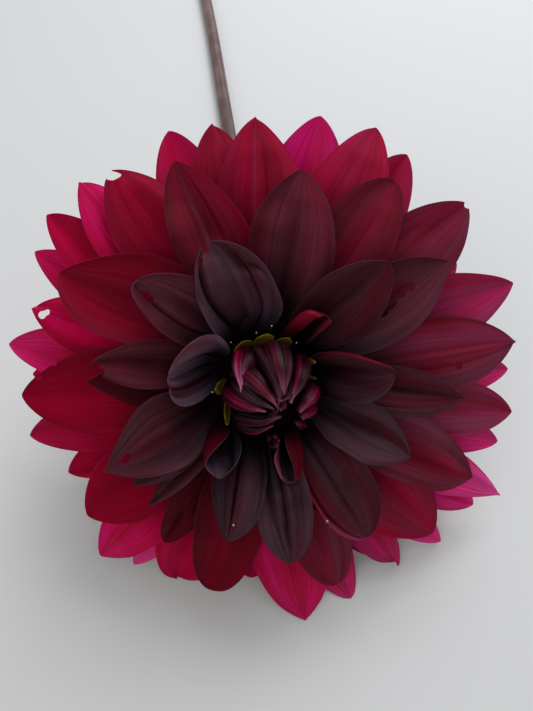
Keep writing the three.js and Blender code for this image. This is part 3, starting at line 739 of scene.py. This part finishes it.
petalFinish = {
    "veins": 22,  # across one petal, about 1 mm apart
    "face": [(0.0, "#140205"), (0.2, "#2d0810"), (0.4, "#500916"), (0.55, "#6e051b"), (0.72, "#900024"),
             (0.88, "#b00033"), (1.0, "#c80658")],
    # colours of the painted sheen, the mauve haze of sky light on the velvet
    "haze": [(0.0, "#332b36"), (0.25, "#4b3038"), (0.5, "#652b3d"), (0.75, "#86264a"), (1.0, "#b82c7c")],
    "back": [(0.0, "#25030a"), (0.4, "#4f0414"), (0.75, "#84082a"), (1.0, "#a01848")],
    "streak": "#d85a9a",
    "sheen": "#c79ab0",
}


# Soft plant tissue, blotched from its low colour to its high one and raised where it is lighter. scale is
# how many blotches there are to a metre.
def makeTissue(name, low, high, roughness, scale, shine=0.3):
    material, add = startMaterial(name)
    blotch = add("TexNoise", {0: add("TexCoord", out="Object"), "Scale": scale, "Detail": 4.0})
    colour = add("ValToRGB", {"Fac": blotch}, [(0.35, low), (0.65, high)])
    look = {"Base Color": colour, "Roughness": roughness, "Specular IOR Level": shine}
    return finishMaterial(material, add, look, (0.4, 0.0002, blotch))


# The upper side of a dahlia petal is velvety from tiny domed cells. They scatter light softly and hardly
# shine; the mauve haze they show on whatever stands up is painted into the colour as sheen. Fine veins
# run lengthwise.
def makePetalFace():
    material, add = startMaterial("velvetPetalFace")
    place = add("UVMap", uv_map="UVMap")
    split = add("SeparateXYZ", {0: place}).node.outputs
    tone, haze, shade, pale = [add("Attribute", out="Fac", attribute_name=name)
                               for name in ("tone", "haze", "shade", "pale")]
    deep = add("ValToRGB", {"Fac": tone}, petalFinish["face"])
    misty = add("ValToRGB", {"Fac": tone}, petalFinish["haze"])
    broad, fine = addStreaks(add, place, (9.0, 1.1, 1.0), 3.0), addStreaks(add, place, (34.0, 1.5, 1.0), 2.0)
    drift = add("MapRange", {0: broad, 1: 0.3, 2: 0.7, 3: 0.65, 4: 1.2})
    # a painted highlight on the thin edge, as sheen: it dulls a bright petal and lightens a dark one
    side = add("Math", {0: split["X"], 1: 0.5}, operation="SUBTRACT")
    off = add("Math", {0: side}, operation="ABSOLUTE")
    rim = add("MapRange", {0: off, 1: 0.47, 2: 0.5, 4: 0.25})
    drifted = add("Math", {0: haze, 1: drift}, operation="MULTIPLY")
    amount = add("Math", {0: drifted, 1: rim}, operation="ADD", use_clamp=True)
    hazy = add("Mix", {"Factor": amount, 6: deep, 7: misty}, data_type="RGBA")
    # painted shade, broken by fine veins
    lined = add("MapRange", {0: fine, 1: 0.3, 2: 0.7, 3: 0.9, 4: 1.1})
    dark = add("Math", {0: shade, 1: lined}, operation="MULTIPLY")
    shaded = add("Mix", {"Factor": 1.0, 6: hazy, 7: dark}, data_type="RGBA", blend_type="MULTIPLY")
    # pink streaks that reach in from the tips of the oldest petals
    reach = add("MapRange", {0: split["Y"], 1: 0.45, 2: 1.0})
    thin = add("MapRange", {0: fine, 1: 0.35, 2: 0.7, 3: 0.25, 4: 1.0})
    reached = add("Math", {0: reach, 1: pale}, operation="MULTIPLY")
    pinkness = add("Math", {0: reached, 1: thin}, operation="MULTIPLY", use_clamp=True)
    pink = add("Mix", {"Factor": pinkness, 6: shaded, 7: toLinear(petalFinish["streak"])}, data_type="RGBA")
    cells = add("TexNoise", {"Scale": 1500.0, "Detail": 2.0})  # about 0.1 mm; real ones are too fine to show
    relief = add("Math", {0: fine, 1: cells}, operation="ADD")
    look = {"Base Color": pink, "Roughness": 0.6, "Specular IOR Level": 0.03, "Sheen Weight": 0.02,
            "Sheen Roughness": 0.4, "Sheen Tint": toLinear(petalFinish["sheen"])}
    return finishMaterial(material, add, look, (0.5, 0.0002, relief))


# The underside of a petal is smoother and redder than the face, with plain ribbed veins
def makePetalBack():
    material, add = startMaterial("satinPetalBack")
    place = add("UVMap", uv_map="UVMap")
    tone, shade = [add("Attribute", out="Fac", attribute_name=name) for name in ("tone", "shade")]
    base = add("ValToRGB", {"Fac": tone}, petalFinish["back"])
    streaks = addStreaks(add, place, (30.0, 1.2, 1.0), 3.0)
    lines = add("TexWave", {0: place, "Scale": petalFinish["veins"] / 6.28, "Distortion": 1.0, "Detail": 2.0},
                out="Fac", wave_type="BANDS", bands_direction="X")
    lined = add("MapRange", {0: streaks, 1: 0.3, 2: 0.7, 3: 0.8, 4: 1.25})
    # the same painted shade as the face, broken by streaks
    dark = add("Math", {0: lined, 1: shade}, operation="MULTIPLY")
    shaded = add("Mix", {"Factor": 1.0, 6: base, 7: dark}, data_type="RGBA", blend_type="MULTIPLY")
    look = {"Base Color": shaded, "Roughness": 0.5, "Specular IOR Level": 0.05}
    return finishMaterial(material, add, look, (0.4, 0.0002, lines))


# Joins parts into one piece that rides with the flower and stands for a node of the CAD
def joinPieces(parts, name, node):
    selectOnly(parts)
    if len(parts) > 1:
        bpy.ops.object.join()
    piece = bpy.context.object
    selectOnly([piece])
    bpy.ops.object.transform_apply(location=True, rotation=True, scale=True)
    bpy.ops.object.shade_smooth_by_angle(angle=math.radians(flower["smoothBelow"]))
    piece.name = piece.data.name = name
    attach(piece, "root")
    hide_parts(node)


petalMaterials = [makePetalFace(), makePetalBack()]
crumbMaterial = makeTissue("driedCrumb", "#b08a6c", "#e2cdb4", 0.7, 900.0)  # dry, matt and straw brown
allPetals = list(hiddenPetals()) + [(whorl, row) for whorl, rows in facePetals.items() for row in rows]
grown = {whorl: [] for whorl in whorls}
for index, (whorl, row) in enumerate(sorted(allPetals, key=lambda item: item[1][3])):
    grown[whorl].extend(growPetal(whorl, row, layPetal(whorl, row), index))
outer = grown.pop("outer")
grown["outerLeft"], grown["outerRight"] = outer[: len(outer) // 2], outer[len(outer) // 2 :]
for whorl, parts in grown.items():
    joinPieces(parts, f"petals.{whorl}", "petals")
print("petals are grown:", {whorl: len(parts) for whorl, parts in grown.items()})

# Receptacle, bud, scales, calyx and stem

heart = {
    "receptacle": [
        (0, -18), (12, -18), (22, -16), (27, -11), (28, -4), (25, 3), (21, 6.6), (14, 8.5), (0, 8.5),
    ],
    "budCore": [(0, 10.2), (7, 10.2), (10.4, 15), (11.4, 20.5), (10.4, 27), (6.6, 32), (0, 34)],
    "budBody": [(8, 10.2), (12.4, 14), (14.6, 19), (14.6, 24), (12.6, 29.5), (8, 34), (0, 36.3)],
    "budReach": 34,  # length of the bud's side from its foot to its apex
    "lean": (3.4, -2.6),
    "budFoot": 10,
    "budHeight": 27,
    "leanGrowth": 1.6,
    "floretWall": 0.35,
    "floretGrid": (30, 32),  # across and along
}


# The bud leans over more and more towards its top
def leanWithBud(points):
    rise = np.clip((points[:, 2] - heart["budFoot"]) / heart["budHeight"], 0, None) ** heart["leanGrowth"]
    leaned = points.copy()
    leaned[:, :2] += rise[:, None] * heart["lean"]
    return leaned


# Turns an outline of (radius, height) round the bloom's axis: a ring, extruded and scaled at each step. lean
# moves its points before they are placed.
def turnOutline(outline, material, lean=None, sides=40):
    rings = [pair for pair in outline if pair[0] > 0]
    clearSelection()
    bpy.ops.mesh.primitive_circle_add(vertices=sides, radius=rings[0][0], location=(0, 0, rings[0][1]))
    bpy.ops.object.transform_apply(location=True)
    piece = bpy.context.object
    setMode("EDIT")
    bpy.ops.mesh.select_all(action="SELECT")
    if outline[0][0] == 0:
        bpy.ops.mesh.edge_face_add()
        bpy.ops.mesh.select_all(action="SELECT")
    setMode("OBJECT")
    setMode("EDIT")
    for (radius, height), (wider, higher) in zip(rings, rings[1:]):
        bpy.ops.mesh.extrude_region_move(TRANSFORM_OT_translate={"value": (0, 0, higher - height)})
        scale = wider / radius
        bpy.ops.transform.resize(value=(scale, scale, 1), center_override=(0, 0, higher))
    if outline[-1][0] == 0:
        rise = outline[-1][1] - rings[-1][1]
        bpy.ops.mesh.extrude_region_move(TRANSFORM_OT_translate={"value": (0, 0, rise)})
        bpy.ops.mesh.merge(type="CENTER")
    bpy.ops.mesh.select_all(action="SELECT")
    bpy.ops.mesh.normals_make_consistent(inside=False)
    setMode("OBJECT")
    points = readPoints(piece)
    writePoints(piece, toFlower(lean(points) if lean else points))
    piece.data.materials.append(material)
    return piece


# A thin blade from a grid: surface takes (along, across) arrays to points in the bloom's frame
def growBlade(surface, grid, thickness, material, marks=None):
    piece, start = startGrid(*grid)
    along = 1 - (1 - (start[:, 1] + 1) / 2) ** 1.4  # rows draw closer towards the tip
    writePoints(piece, toFlower(surface(along, start[:, 0])))
    if marks:
        markPoints(piece, marks(along, start[:, 0]))
    thicken(piece, thickness, [material])
    return piece


def roundAxis(angle, radius, height):
    return np.column_stack((radius * np.sin(angle), radius * np.cos(angle), height))


# A place on an outline, rounded between its corners, at a share of its length
def smoothOutline(outline, share):
    points = np.array(outline, float)
    lengths = np.concatenate(([0], np.cumsum(np.linalg.norm(np.diff(points, axis=0), axis=1))))
    blur = np.linspace(-1, 1, 9) * 0.06
    spots = np.clip(share[:, None] + blur, 0, 1) * lengths[-1]
    return [np.interp(spots, lengths, values).mean(axis=1) for values in points.T]


# Soft flesh that no light reaches between the petals, coloured almost black as painted shade
def makeReceptacle():
    flesh = makeTissue("fleshyReceptacle", "#0d0204", "#1a0509", 0.8, 160.0, 0.03)
    joinPieces([turnOutline(heart["receptacle"], flesh, sides=48)], "receptacle", "petals")


# Closed florets of the bud, each folded over the bud's side from a foot to a tip: both as a clock angle and
# a share of the way up the side. Then width, how far it swings sideways, how high it stands, how blunt its
# tip is, how far its anticlockwise edge stands up, and its colours: rosy streaks and grey bands of painted
# sky reflection are (place across, half width, amount), pale is how light its tip is, paleFrom where that
# begins, and dim darkens it with painted shade.
budFlorets = [
    ((342, 0.26), (289, 0.68), 14.5, 1, 2.3, 1.6, 0, dict(rosy=[(-0.1, 0.2, 2.4), (-0.8, 0.12, 1.2)],
        grey=[(0.35, 0.16, 0.8)], pale=1.4, paleFrom=0.5, dim=0.9)),
    ((330, 0.28), (304, 0.7), 9, 1, 0.9, 2.2, 0, dict(grey=[(-0.3, 0.5, 0.9)])),
    ((348, 0.28), (262, 0.99), 10, -1.8, 1.3, 1.8, 0, dict(rosy=[(-0.5, 0.3, 0.4)],
        grey=[(0.35, 0.18, 0.8)], pale=0.6, dim=0.75)),
    ((312, 0.38), (222, 0.965), 11, -1.2, 0.9, 2, 0, dict(rosy=[(-0.1, 0.3, 0.5)], grey=[(0.5, 0.2, 0.5)],
        pale=0.7, dim=0.72)),
    ((298, 0.46), (240, 0.93), 8.5, 1, 0.9, 2.4, 0, dict(grey=[(0, 0.4, 0.5)], rosy=[(0.6, 0.2, 0.6)],
        pale=0.5, dim=0.55)),
    ((284, 0.34), (247, 0.865), 10.5, 1.4, 1.5, 1.8, 0, dict(rosy=[(-0.35, 0.25, 1.6), (0.4, 0.3, 0.6)],
        grey=[(0.6, 0.12, 0.8)], pale=0.7, dim=0.78)),
    ((252, 0.42), (184, 0.895), 8, 1.8, 0.8, 2.2, 0.4, dict(rosy=[(0.5, 0.35, 1.6)],
        grey=[(-0.3, 0.2, 0.3)], pale=0.7, dim=0.55)),
    ((244, 0.4), (202, 0.8), 7, 2.8, 1.3, 2.4, 0.9, dict(rosy=[(0.1, 0.5, 2.2)], pale=0.4, dim=0.62)),
    ((12, 0.26), (24, 0.925), 15, 0.3, 2.4, 2.8, 0, dict(rosy=[(0.3, 0.12, 0.3)], grey=[(0.05, 0.12, 0.8),
        (-0.45, 0.16, 0.8), (0.5, 0.1, 0.5)], pale=0.7, dim=0.72)),
    ((52, 0.24), (92, 0.925), 10.5, 1.2, 2.1, 1.8, 0, dict(rosy=[(0.75, 0.2, 0.7)], grey=[(-0.15, 0.25, 1)],
        pale=0.9, dim=0.78)),
    ((88, 0.36), (124, 0.81), 7.6, 0.8, 1.3, 2.2, 0.5, dict(rosy=[(0.2, 0.35, 2)], pale=0.5, dim=0.62)),
    ((112, 0.34), (134, 0.73), 7, 0.4, 1.1, 2.4, 0.8, dict(rosy=[(0.3, 0.35, 2)], pale=0.5, dim=0.62)),
    ((140, 0.34), (148, 0.74), 6.8, 0.3, 1.1, 2.4, 0.6, dict(rosy=[(0.2, 0.3, 0.6)], pale=0.4, dim=0.7)),
    ((176, 0.3), (186, 0.62), 7.5, 0, 1, 2.4, 0.3, dict(dim=0.6)),
    ((30, 0.84), (332, 0.97), 2.6, 0.5, 0.6, 1.6, 0.6, dict(grey=[(0, 0.4, 0.7)], pale=1.1)),
    ((70, 0.84), (300, 0.985), 2.8, 0.6, 0.5, 1.5, 0.4, dict(grey=[(0, 0.4, 0.6)], pale=1)),
    ((30, 0.97), (190, 0.95), 2, -0.3, 0.6, 1.6, 0.5, dict(grey=[(0, 0.4, 0.5)], pale=1.2)),
    ((320, 0.6), (336, 0.985), 5, 0.2, -0.6, 2, 0, dict(dim=0.5)),
    ((60, 0.6), (60, 0.97), 8, 0.2, -0.5, 2, 0, dict(dim=0.5)),
    ((215, 0.6), (200, 0.96), 7, 0.2, -0.6, 2, 0, dict(dim=0.5)),
]
# One floret below the bud is still a little open tube, from its foot to its mouth
budTube = {
    "foot": (0.8, -14.5, 8),
    "mouth": (1.1, -19.3, 18.4),
    "radius": (1.4, 2.6),
    "grid": (24, 20),
    "colours": dict(rosy=[(0, 0.8, 1)], pale=1),
}
# Each closed floret has two broad folds and a few fine pleats
budPleats = {
    "folds": [(0.12, 0.16, 0.35), (-0.35, 0.12, -0.25)],
    "count": 9,
    "seed": 500,
    "width": (0.025, 0.07),
    "dark": (0.2, 0.8),
    "depth": 0.35,
}


# Fine pleats along a closed floret: place across, half width, and how deep each is and how much painted
# shade darkens it
def pleatsOf(vary):
    random = np.random.default_rng(flower["seed"] + budPleats["seed"] + vary)
    ranges = ((-0.8, 0.8), budPleats["width"], budPleats["dark"])
    return [[random.uniform(*span) for span in ranges] for _ in range(budPleats["count"])]


# What a floret's material reads from the mesh; painted shade darkens its edges, its pleats and its foot, as
# in the seams between florets
def floretMarks(colours, vary, along, across):
    depth = 1 - 0.85 * smooth(0.5, 0.92, np.abs(across))
    depth = np.maximum(0.12, depth - bandsAt(across, pleatsOf(vary)) * (1 - 0.6 * smooth(0.7, 1, along)))
    rosy, grey = [0.05 + bandsAt(across, colours.get(name, [])) for name in ("rosy", "grey")]
    # a painted highlight along the rim
    rim = 0.2 * smooth(0.9, 1, np.abs(across)) * smooth(0.3, 0.6, along)
    return {
        "vary": vary,
        "dim": colours.get("dim", 1) * (0.3 + 0.7 * smooth(0, 0.45, along)) * depth,
        "rosy": rosy * smooth(0.2, 0.55, along),
        "grey": grey,
        "pale": colours.get("pale", 0.3) * (smooth(colours.get("paleFrom", 0.74), 1, along) + rim),
    }


def tubeSurface(along, across):
    foot, mouth = np.array(budTube["foot"]), np.array(budTube["mouth"])
    axis = (mouth - foot) / np.linalg.norm(mouth - foot)
    side = np.cross(axis, (1, 0, 0))
    side /= np.linalg.norm(side)
    front = np.cross(side, axis)
    near, far = budTube["radius"]
    radius = (near + (far - near) * smooth(0.1, 0.8, along) - 0.4 * smooth(0.85, 1, along))[:, None]
    angle = (across * math.pi * 0.95)[:, None]
    ring = front * np.cos(angle) * 0.85 + side * np.sin(angle)
    return foot + (mouth - foot) * along[:, None] + ring * radius


def floretSurface(row, vary, along, across):
    foot, tip, width, swing, stand, blunt, lift = row[:7]
    ends = [unitAt(clock)[::-1] * (1 - share) for clock, share in (foot, tip)]
    reach = heart["budReach"]
    chord = ends[1] - ends[0]
    sideways = np.array((chord[1], -chord[0])) / np.linalg.norm(chord)
    bow = sideways * swing / reach
    t = along[:, None]
    centre = ends[0] + chord * t + bow * 4 * t * (1 - t)
    wide = (0.75 + 0.25 * np.sin(np.pi * along)) * np.clip(1 - along**blunt, 0.01, 1)
    spot = centre + sideways * (width / 2 * wide * across / reach)[:, None]
    radius, height, outRadius, outHeight = bodyAt(1 - np.linalg.norm(spot, axis=1))
    arch = smooth(-0.05, 0.4, along) * (1 - 0.75 * smooth(0.6, 1, along))
    fold = bandsAt(across, budPleats["folds"]) - budPleats["depth"] * bandsAt(across, pleatsOf(vary))
    rolled = (stand + 1.8) * np.abs(across) ** 3.2
    out = stand * arch + (fold - rolled) * arch ** 0.5 - lift * 2.2 * across * arch
    out = out - 1.2 * (1 - smooth(0, 0.3, along)) + 0.35 * smooth(0.9, 1, along)
    angle = np.arctan2(spot[:, 0], spot[:, 1])
    return leanWithBud(roundAxis(angle, radius + out * outRadius, height + out * outHeight))


# A place on the bud's rounded side at a share of the way up it, and the direction that faces out of it
def bodyAt(share):
    radius, height = smoothOutline(heart["budBody"], share)
    wider, higher = smoothOutline(heart["budBody"], np.clip(share + 0.02, 0, 1))
    lower, deeper = smoothOutline(heart["budBody"], np.clip(share - 0.02, 0, 1))
    length = np.hypot(wider - lower, higher - deeper) + 1e-9
    return radius, height, (higher - deeper) / length, -(wider - lower) / length


budFinish = {
    "plum": [(0.36, "#0a0103"), (0.47, "#26030a"), (0.57, "#540a1a"), (0.72, "#8c4054")],
    # grey is painted, a reflection of the sky on the satin
    "grey": "#543a46",
    "rosy": "#a80e48",
    "pale": "#c8749a",
}


# Young petals rolled tight are plum black and satiny, with crimson streaks, grey-lilac streaks of painted sky
# reflection, pale tips and painted shade. They are rosiest where they were first in the sun, at their tips
def makeBudMaterial():
    material, add = startMaterial("satinBudFloret")
    marks = {name: add("Attribute", out="Fac", attribute_name=name)
             for name in ("rosy", "grey", "pale", "dim", "vary")}
    along = add("Mapping", {0: add("UVMap", uv_map="UVMap"), "Scale": (9.0, 0.9, 1.0)})
    streaks = add("TexNoise", {0: along, "W": marks["vary"], "Scale": 1.0, "Detail": 7.0, "Roughness": 0.75,
                               "Distortion": 0.5}, noise_dimensions="4D")
    colour = add("ValToRGB", {"Fac": streaks}, budFinish["plum"])
    thin = add("MapRange", {0: streaks, 1: 0.42, 2: 0.6, 3: 0.2})
    for name in ("grey", "rosy", "pale"):
        amount = add("Math", {0: marks[name], 1: thin}, operation="MULTIPLY", use_clamp=True)
        colour = add("Mix", {"Factor": amount, 6: colour, 7: toLinear(budFinish[name])}, data_type="RGBA")
    # painted shade
    dimmed = add("Mix", {"Factor": 1.0, 6: colour, 7: marks["dim"]}, data_type="RGBA", blend_type="MULTIPLY")
    look = {"Base Color": dimmed, "Roughness": 0.3, "Specular IOR Level": 0.12}
    return finishMaterial(material, add, look, (0.7, 0.0004, streaks))


# A shaded core with the closed florets and the little tube over it
def makeBud():
    material = makeBudMaterial()
    # the inside of the bud is in deep shade
    shaded = makeTissue("shadedBudCore", "#050102", "#0d0205", 0.9, 300.0, 0.02)
    parts = [turnOutline(heart["budCore"], shaded, leanWithBud)]
    for place, row in enumerate(budFlorets):
        surface, marks = partial(floretSurface, row, place), partial(floretMarks, row[7], place)
        parts.append(growBlade(surface, heart["floretGrid"], heart["floretWall"], material, marks))
    marks = partial(floretMarks, budTube["colours"], 30)
    parts.append(growBlade(tubeSurface, budTube["grid"], heart["floretWall"], material, marks))
    joinPieces(parts, "bud", "bud")


scales = {
    "ring": [(5.5, 8.9), (10.3, 8.9), (10.9, 9.9), (5.5, 9.9)],
    # clock angles of the foot and tip, length, width, and how far the tip leans out
    "blades": [
        (334, 338, 13, 7.5, 6), (2, 4, 13.5, 6.5, 6.4), (28, 27, 13, 5, 6.2), (44, 64, 14, 3.4, 5.6),
        (76, 84, 12, 1.8, 4.2), (90, 102, 14, 1.8, 4), (150, 148, 5, 5, 2), (200, 196, 7, 5, 3),
        (262, 240, 15, 3.6, 5.4), (276, 280, 15, 4.6, 5.6),
    ],
    "foot": (10.3, 9.4),
    "curl": 1.6,  # how far the tip turns out past its lean
    "bristleFoot": (10.5, 9.8),  # distance from the axis and height
    "thickness": 0.3,
    "grid": (8, 18),
    "hair": 0.13,  # radius of a bristle, and of its head
    "head": 0.27,
    # clock angle, distance from the axis and height of the pale head of each bristle
    "bristles": [(330, 18.5, 22), (357, 18.2, 23), (11, 20.3, 25), (40, 17.7, 23), (273, 16.9, 22)],
}


# A scale stands up from the ring, leans out and turns its tip out
def scaleSurface(first, last, length, width, lean, along, across):
    height = scales["foot"][1] + length * along ** 0.9
    radius = scales["foot"][0] + lean * np.sin(along * math.pi / 2) + scales["curl"] * along**4
    radius = radius - 0.7 * across**2 * (1 - 0.5 * along)
    taper = np.sqrt(1 - np.clip(along * 2 - 1, 0, 0.999) ** 3)
    half = width / 2 * (0.6 + 0.4 * smooth(0, 0.6, along)) * taper
    angle = np.radians(first + (last - first) * along) + half * across / radius
    return leanWithBud(roundAxis(angle, radius, height))


# A hair from the scales' ring with a small pale head
def growBristle(clock, radius, height, hair, head):
    angle = np.radians([clock, clock])
    low, level = scales["bristleFoot"]
    ends = toFlower(roundAxis(angle, np.array((low, radius)), np.array((level, height))))
    foot, top = Vector(ends[0]), Vector(ends[1])
    clearSelection()
    bpy.ops.mesh.primitive_cylinder_add(vertices=8, radius=scales["hair"] * mm, depth=(top - foot).length,
                                        location=(foot + top) / 2)
    stalk = bpy.context.object
    pointAlong(stalk, top - foot, "Z")
    stalk.data.materials.append(hair)
    return [stalk, addBead(top, scales["head"], head, 12, 8)]


def makeScales():
    # scales dry like chaff, matt and straw green; bristles are reddish hairs with pale matt heads
    chaff = makeTissue("chaffyScale", "#6e5a12", "#a08a2c", 0.6, 500.0, 0.15)
    hair = makeTissue("reddishBristle", "#3a1210", "#5a2a1c", 0.6, 900.0)
    head = makeTissue("paleBristleHead", "#cfc3ae", "#e4dcc9", 0.5, 900.0)
    parts = [turnOutline(scales["ring"] + scales["ring"][:1], chaff)]
    for blade in scales["blades"]:
        parts.append(growBlade(partial(scaleSurface, *blade), scales["grid"], scales["thickness"], chaff))
    for bristle in scales["bristles"]:
        parts.extend(growBristle(*bristle, hair, head))
    joinPieces(parts, "scales", "scales")


calyx = {
    "outline": [(0, -26), (5.2, -26), (7.5, -24.5), (11.2, -20.5), (11.6, -18.4), (0, -18.4)],
    "bracts": 7,
    "first": 15,
    "width": 8,
    "root": (9.5, -21.5),  # distance from the axis and height
    "tip": (19, -33),
    "curl": 1.6,
    "thickness": 0.9,
    "grid": (8, 18),
}


# A bract bends back down past the calyx
def bractSurface(clock, along, across):
    (near, high), (far, low) = calyx["root"], calyx["tip"]
    radius = near + (far - near) * np.sin(along * math.pi / 2)
    height = high + (low - high) * along ** calyx["curl"]
    half = calyx["width"] / 2 * np.clip(1 - along**2.4, 0.03, 1) ** 0.8
    keel = 0.5 * np.abs(across)
    return roundAxis(math.radians(clock) + half * across / radius, radius + keel, height)


def makeCalyx():
    # bracts are fleshy and satin, mottled leaf green
    flesh = makeTissue("fleshyBract", "#3f5226", "#5b6e34", 0.5, 260.0)
    parts = [turnOutline(calyx["outline"], flesh)]
    for i in range(calyx["bracts"]):
        surface = partial(bractSurface, calyx["first"] + i * 360 / calyx["bracts"])
        parts.append(growBlade(surface, calyx["grid"], calyx["thickness"], flesh))
    joinPieces(parts, "calyx", "calyx")


stem = {
    "radius": 4.25,
    "ribs": 14,
    "ribDepth": 0.12,
    "sides": 56,
    "skin": [(0.36, "#48302a"), (0.5, "#60463f"), (0.64, "#7c645d")],
    "route": [
        (0, 16.9, 29.35), (0.2, 24.4, 20.4), (0.8, 32, 12.4), (2, 41, 7.1), (3.4, 53, 4.7), (4.8, 76, 4.25),
        (6, 120, 4.22), (7.2, 180, 4.22), (7.4, 250, 4.22), (7.4, 330, 4.22), (6.4, 409, 4.22),
    ],
}


# A path through the route's points, bevelled with a ribbed ring and turned into a mesh
def makeStem():
    clearSelection()
    bpy.ops.curve.primitive_bezier_curve_add(radius=1)
    path = bpy.context.object
    spline = path.data.splines[0]
    spline.bezier_points.add(len(stem["route"]) - 2)
    shift = Vector((*flower["footprint"], 0))
    for point, place in zip(spline.bezier_points, stem["route"]):
        point.co = (Vector(place) - shift) * mm
        point.handle_left_type = point.handle_right_type = "AUTO"
    spline.resolution_u = 24
    path.data.dimensions = "3D"
    path.data.use_fill_caps = True
    bpy.ops.mesh.primitive_circle_add(vertices=stem["sides"], radius=1)
    ring = bpy.context.object
    points = readPoints(ring)
    angle = np.arctan2(points[:, 1], points[:, 0])
    radius = (stem["radius"] - stem["ribDepth"] * (0.5 - 0.5 * np.cos(stem["ribs"] * angle))) * mm
    writePoints(ring, np.column_stack((radius * np.cos(angle), radius * np.sin(angle), 0 * angle)))
    bpy.ops.object.convert(target="CURVE")
    path.data.bevel_mode = "OBJECT"
    path.data.bevel_object = ring
    selectOnly([path])
    bpy.ops.object.convert(target="MESH")
    piece = bpy.context.object
    bpy.data.objects.remove(ring)
    piece.data.materials.clear()
    piece.data.materials.append(makeStemMaterial())
    joinPieces([piece], "stem", "stem")


# A fleshy stem skin, satin, brown with a mauve flush and fibres along it, 1 mm wide and 70 mm long
def makeStemMaterial():
    material, add = startMaterial("stemSkin")
    place = add("TexCoord", out="Object")
    fibres = addStreaks(add, place, (900.0, 14.0, 900.0), 3.0, "3D")
    blotch = add("TexNoise", {0: place, "Scale": 60.0, "Detail": 3.0})
    mixed = add("Math", {0: fibres, 1: blotch}, operation="ADD")
    half = add("Math", {0: mixed, 1: 0.5}, operation="MULTIPLY")
    colour = add("ValToRGB", {"Fac": half}, stem["skin"])
    return finishMaterial(material, add, {"Base Color": colour, "Roughness": 0.5}, (0.4, 0.0002, fibres))


makeReceptacle()
makeBud()
makeScales()
makeCalyx()
makeStem()
print("bud, scales, calyx and stem are made")
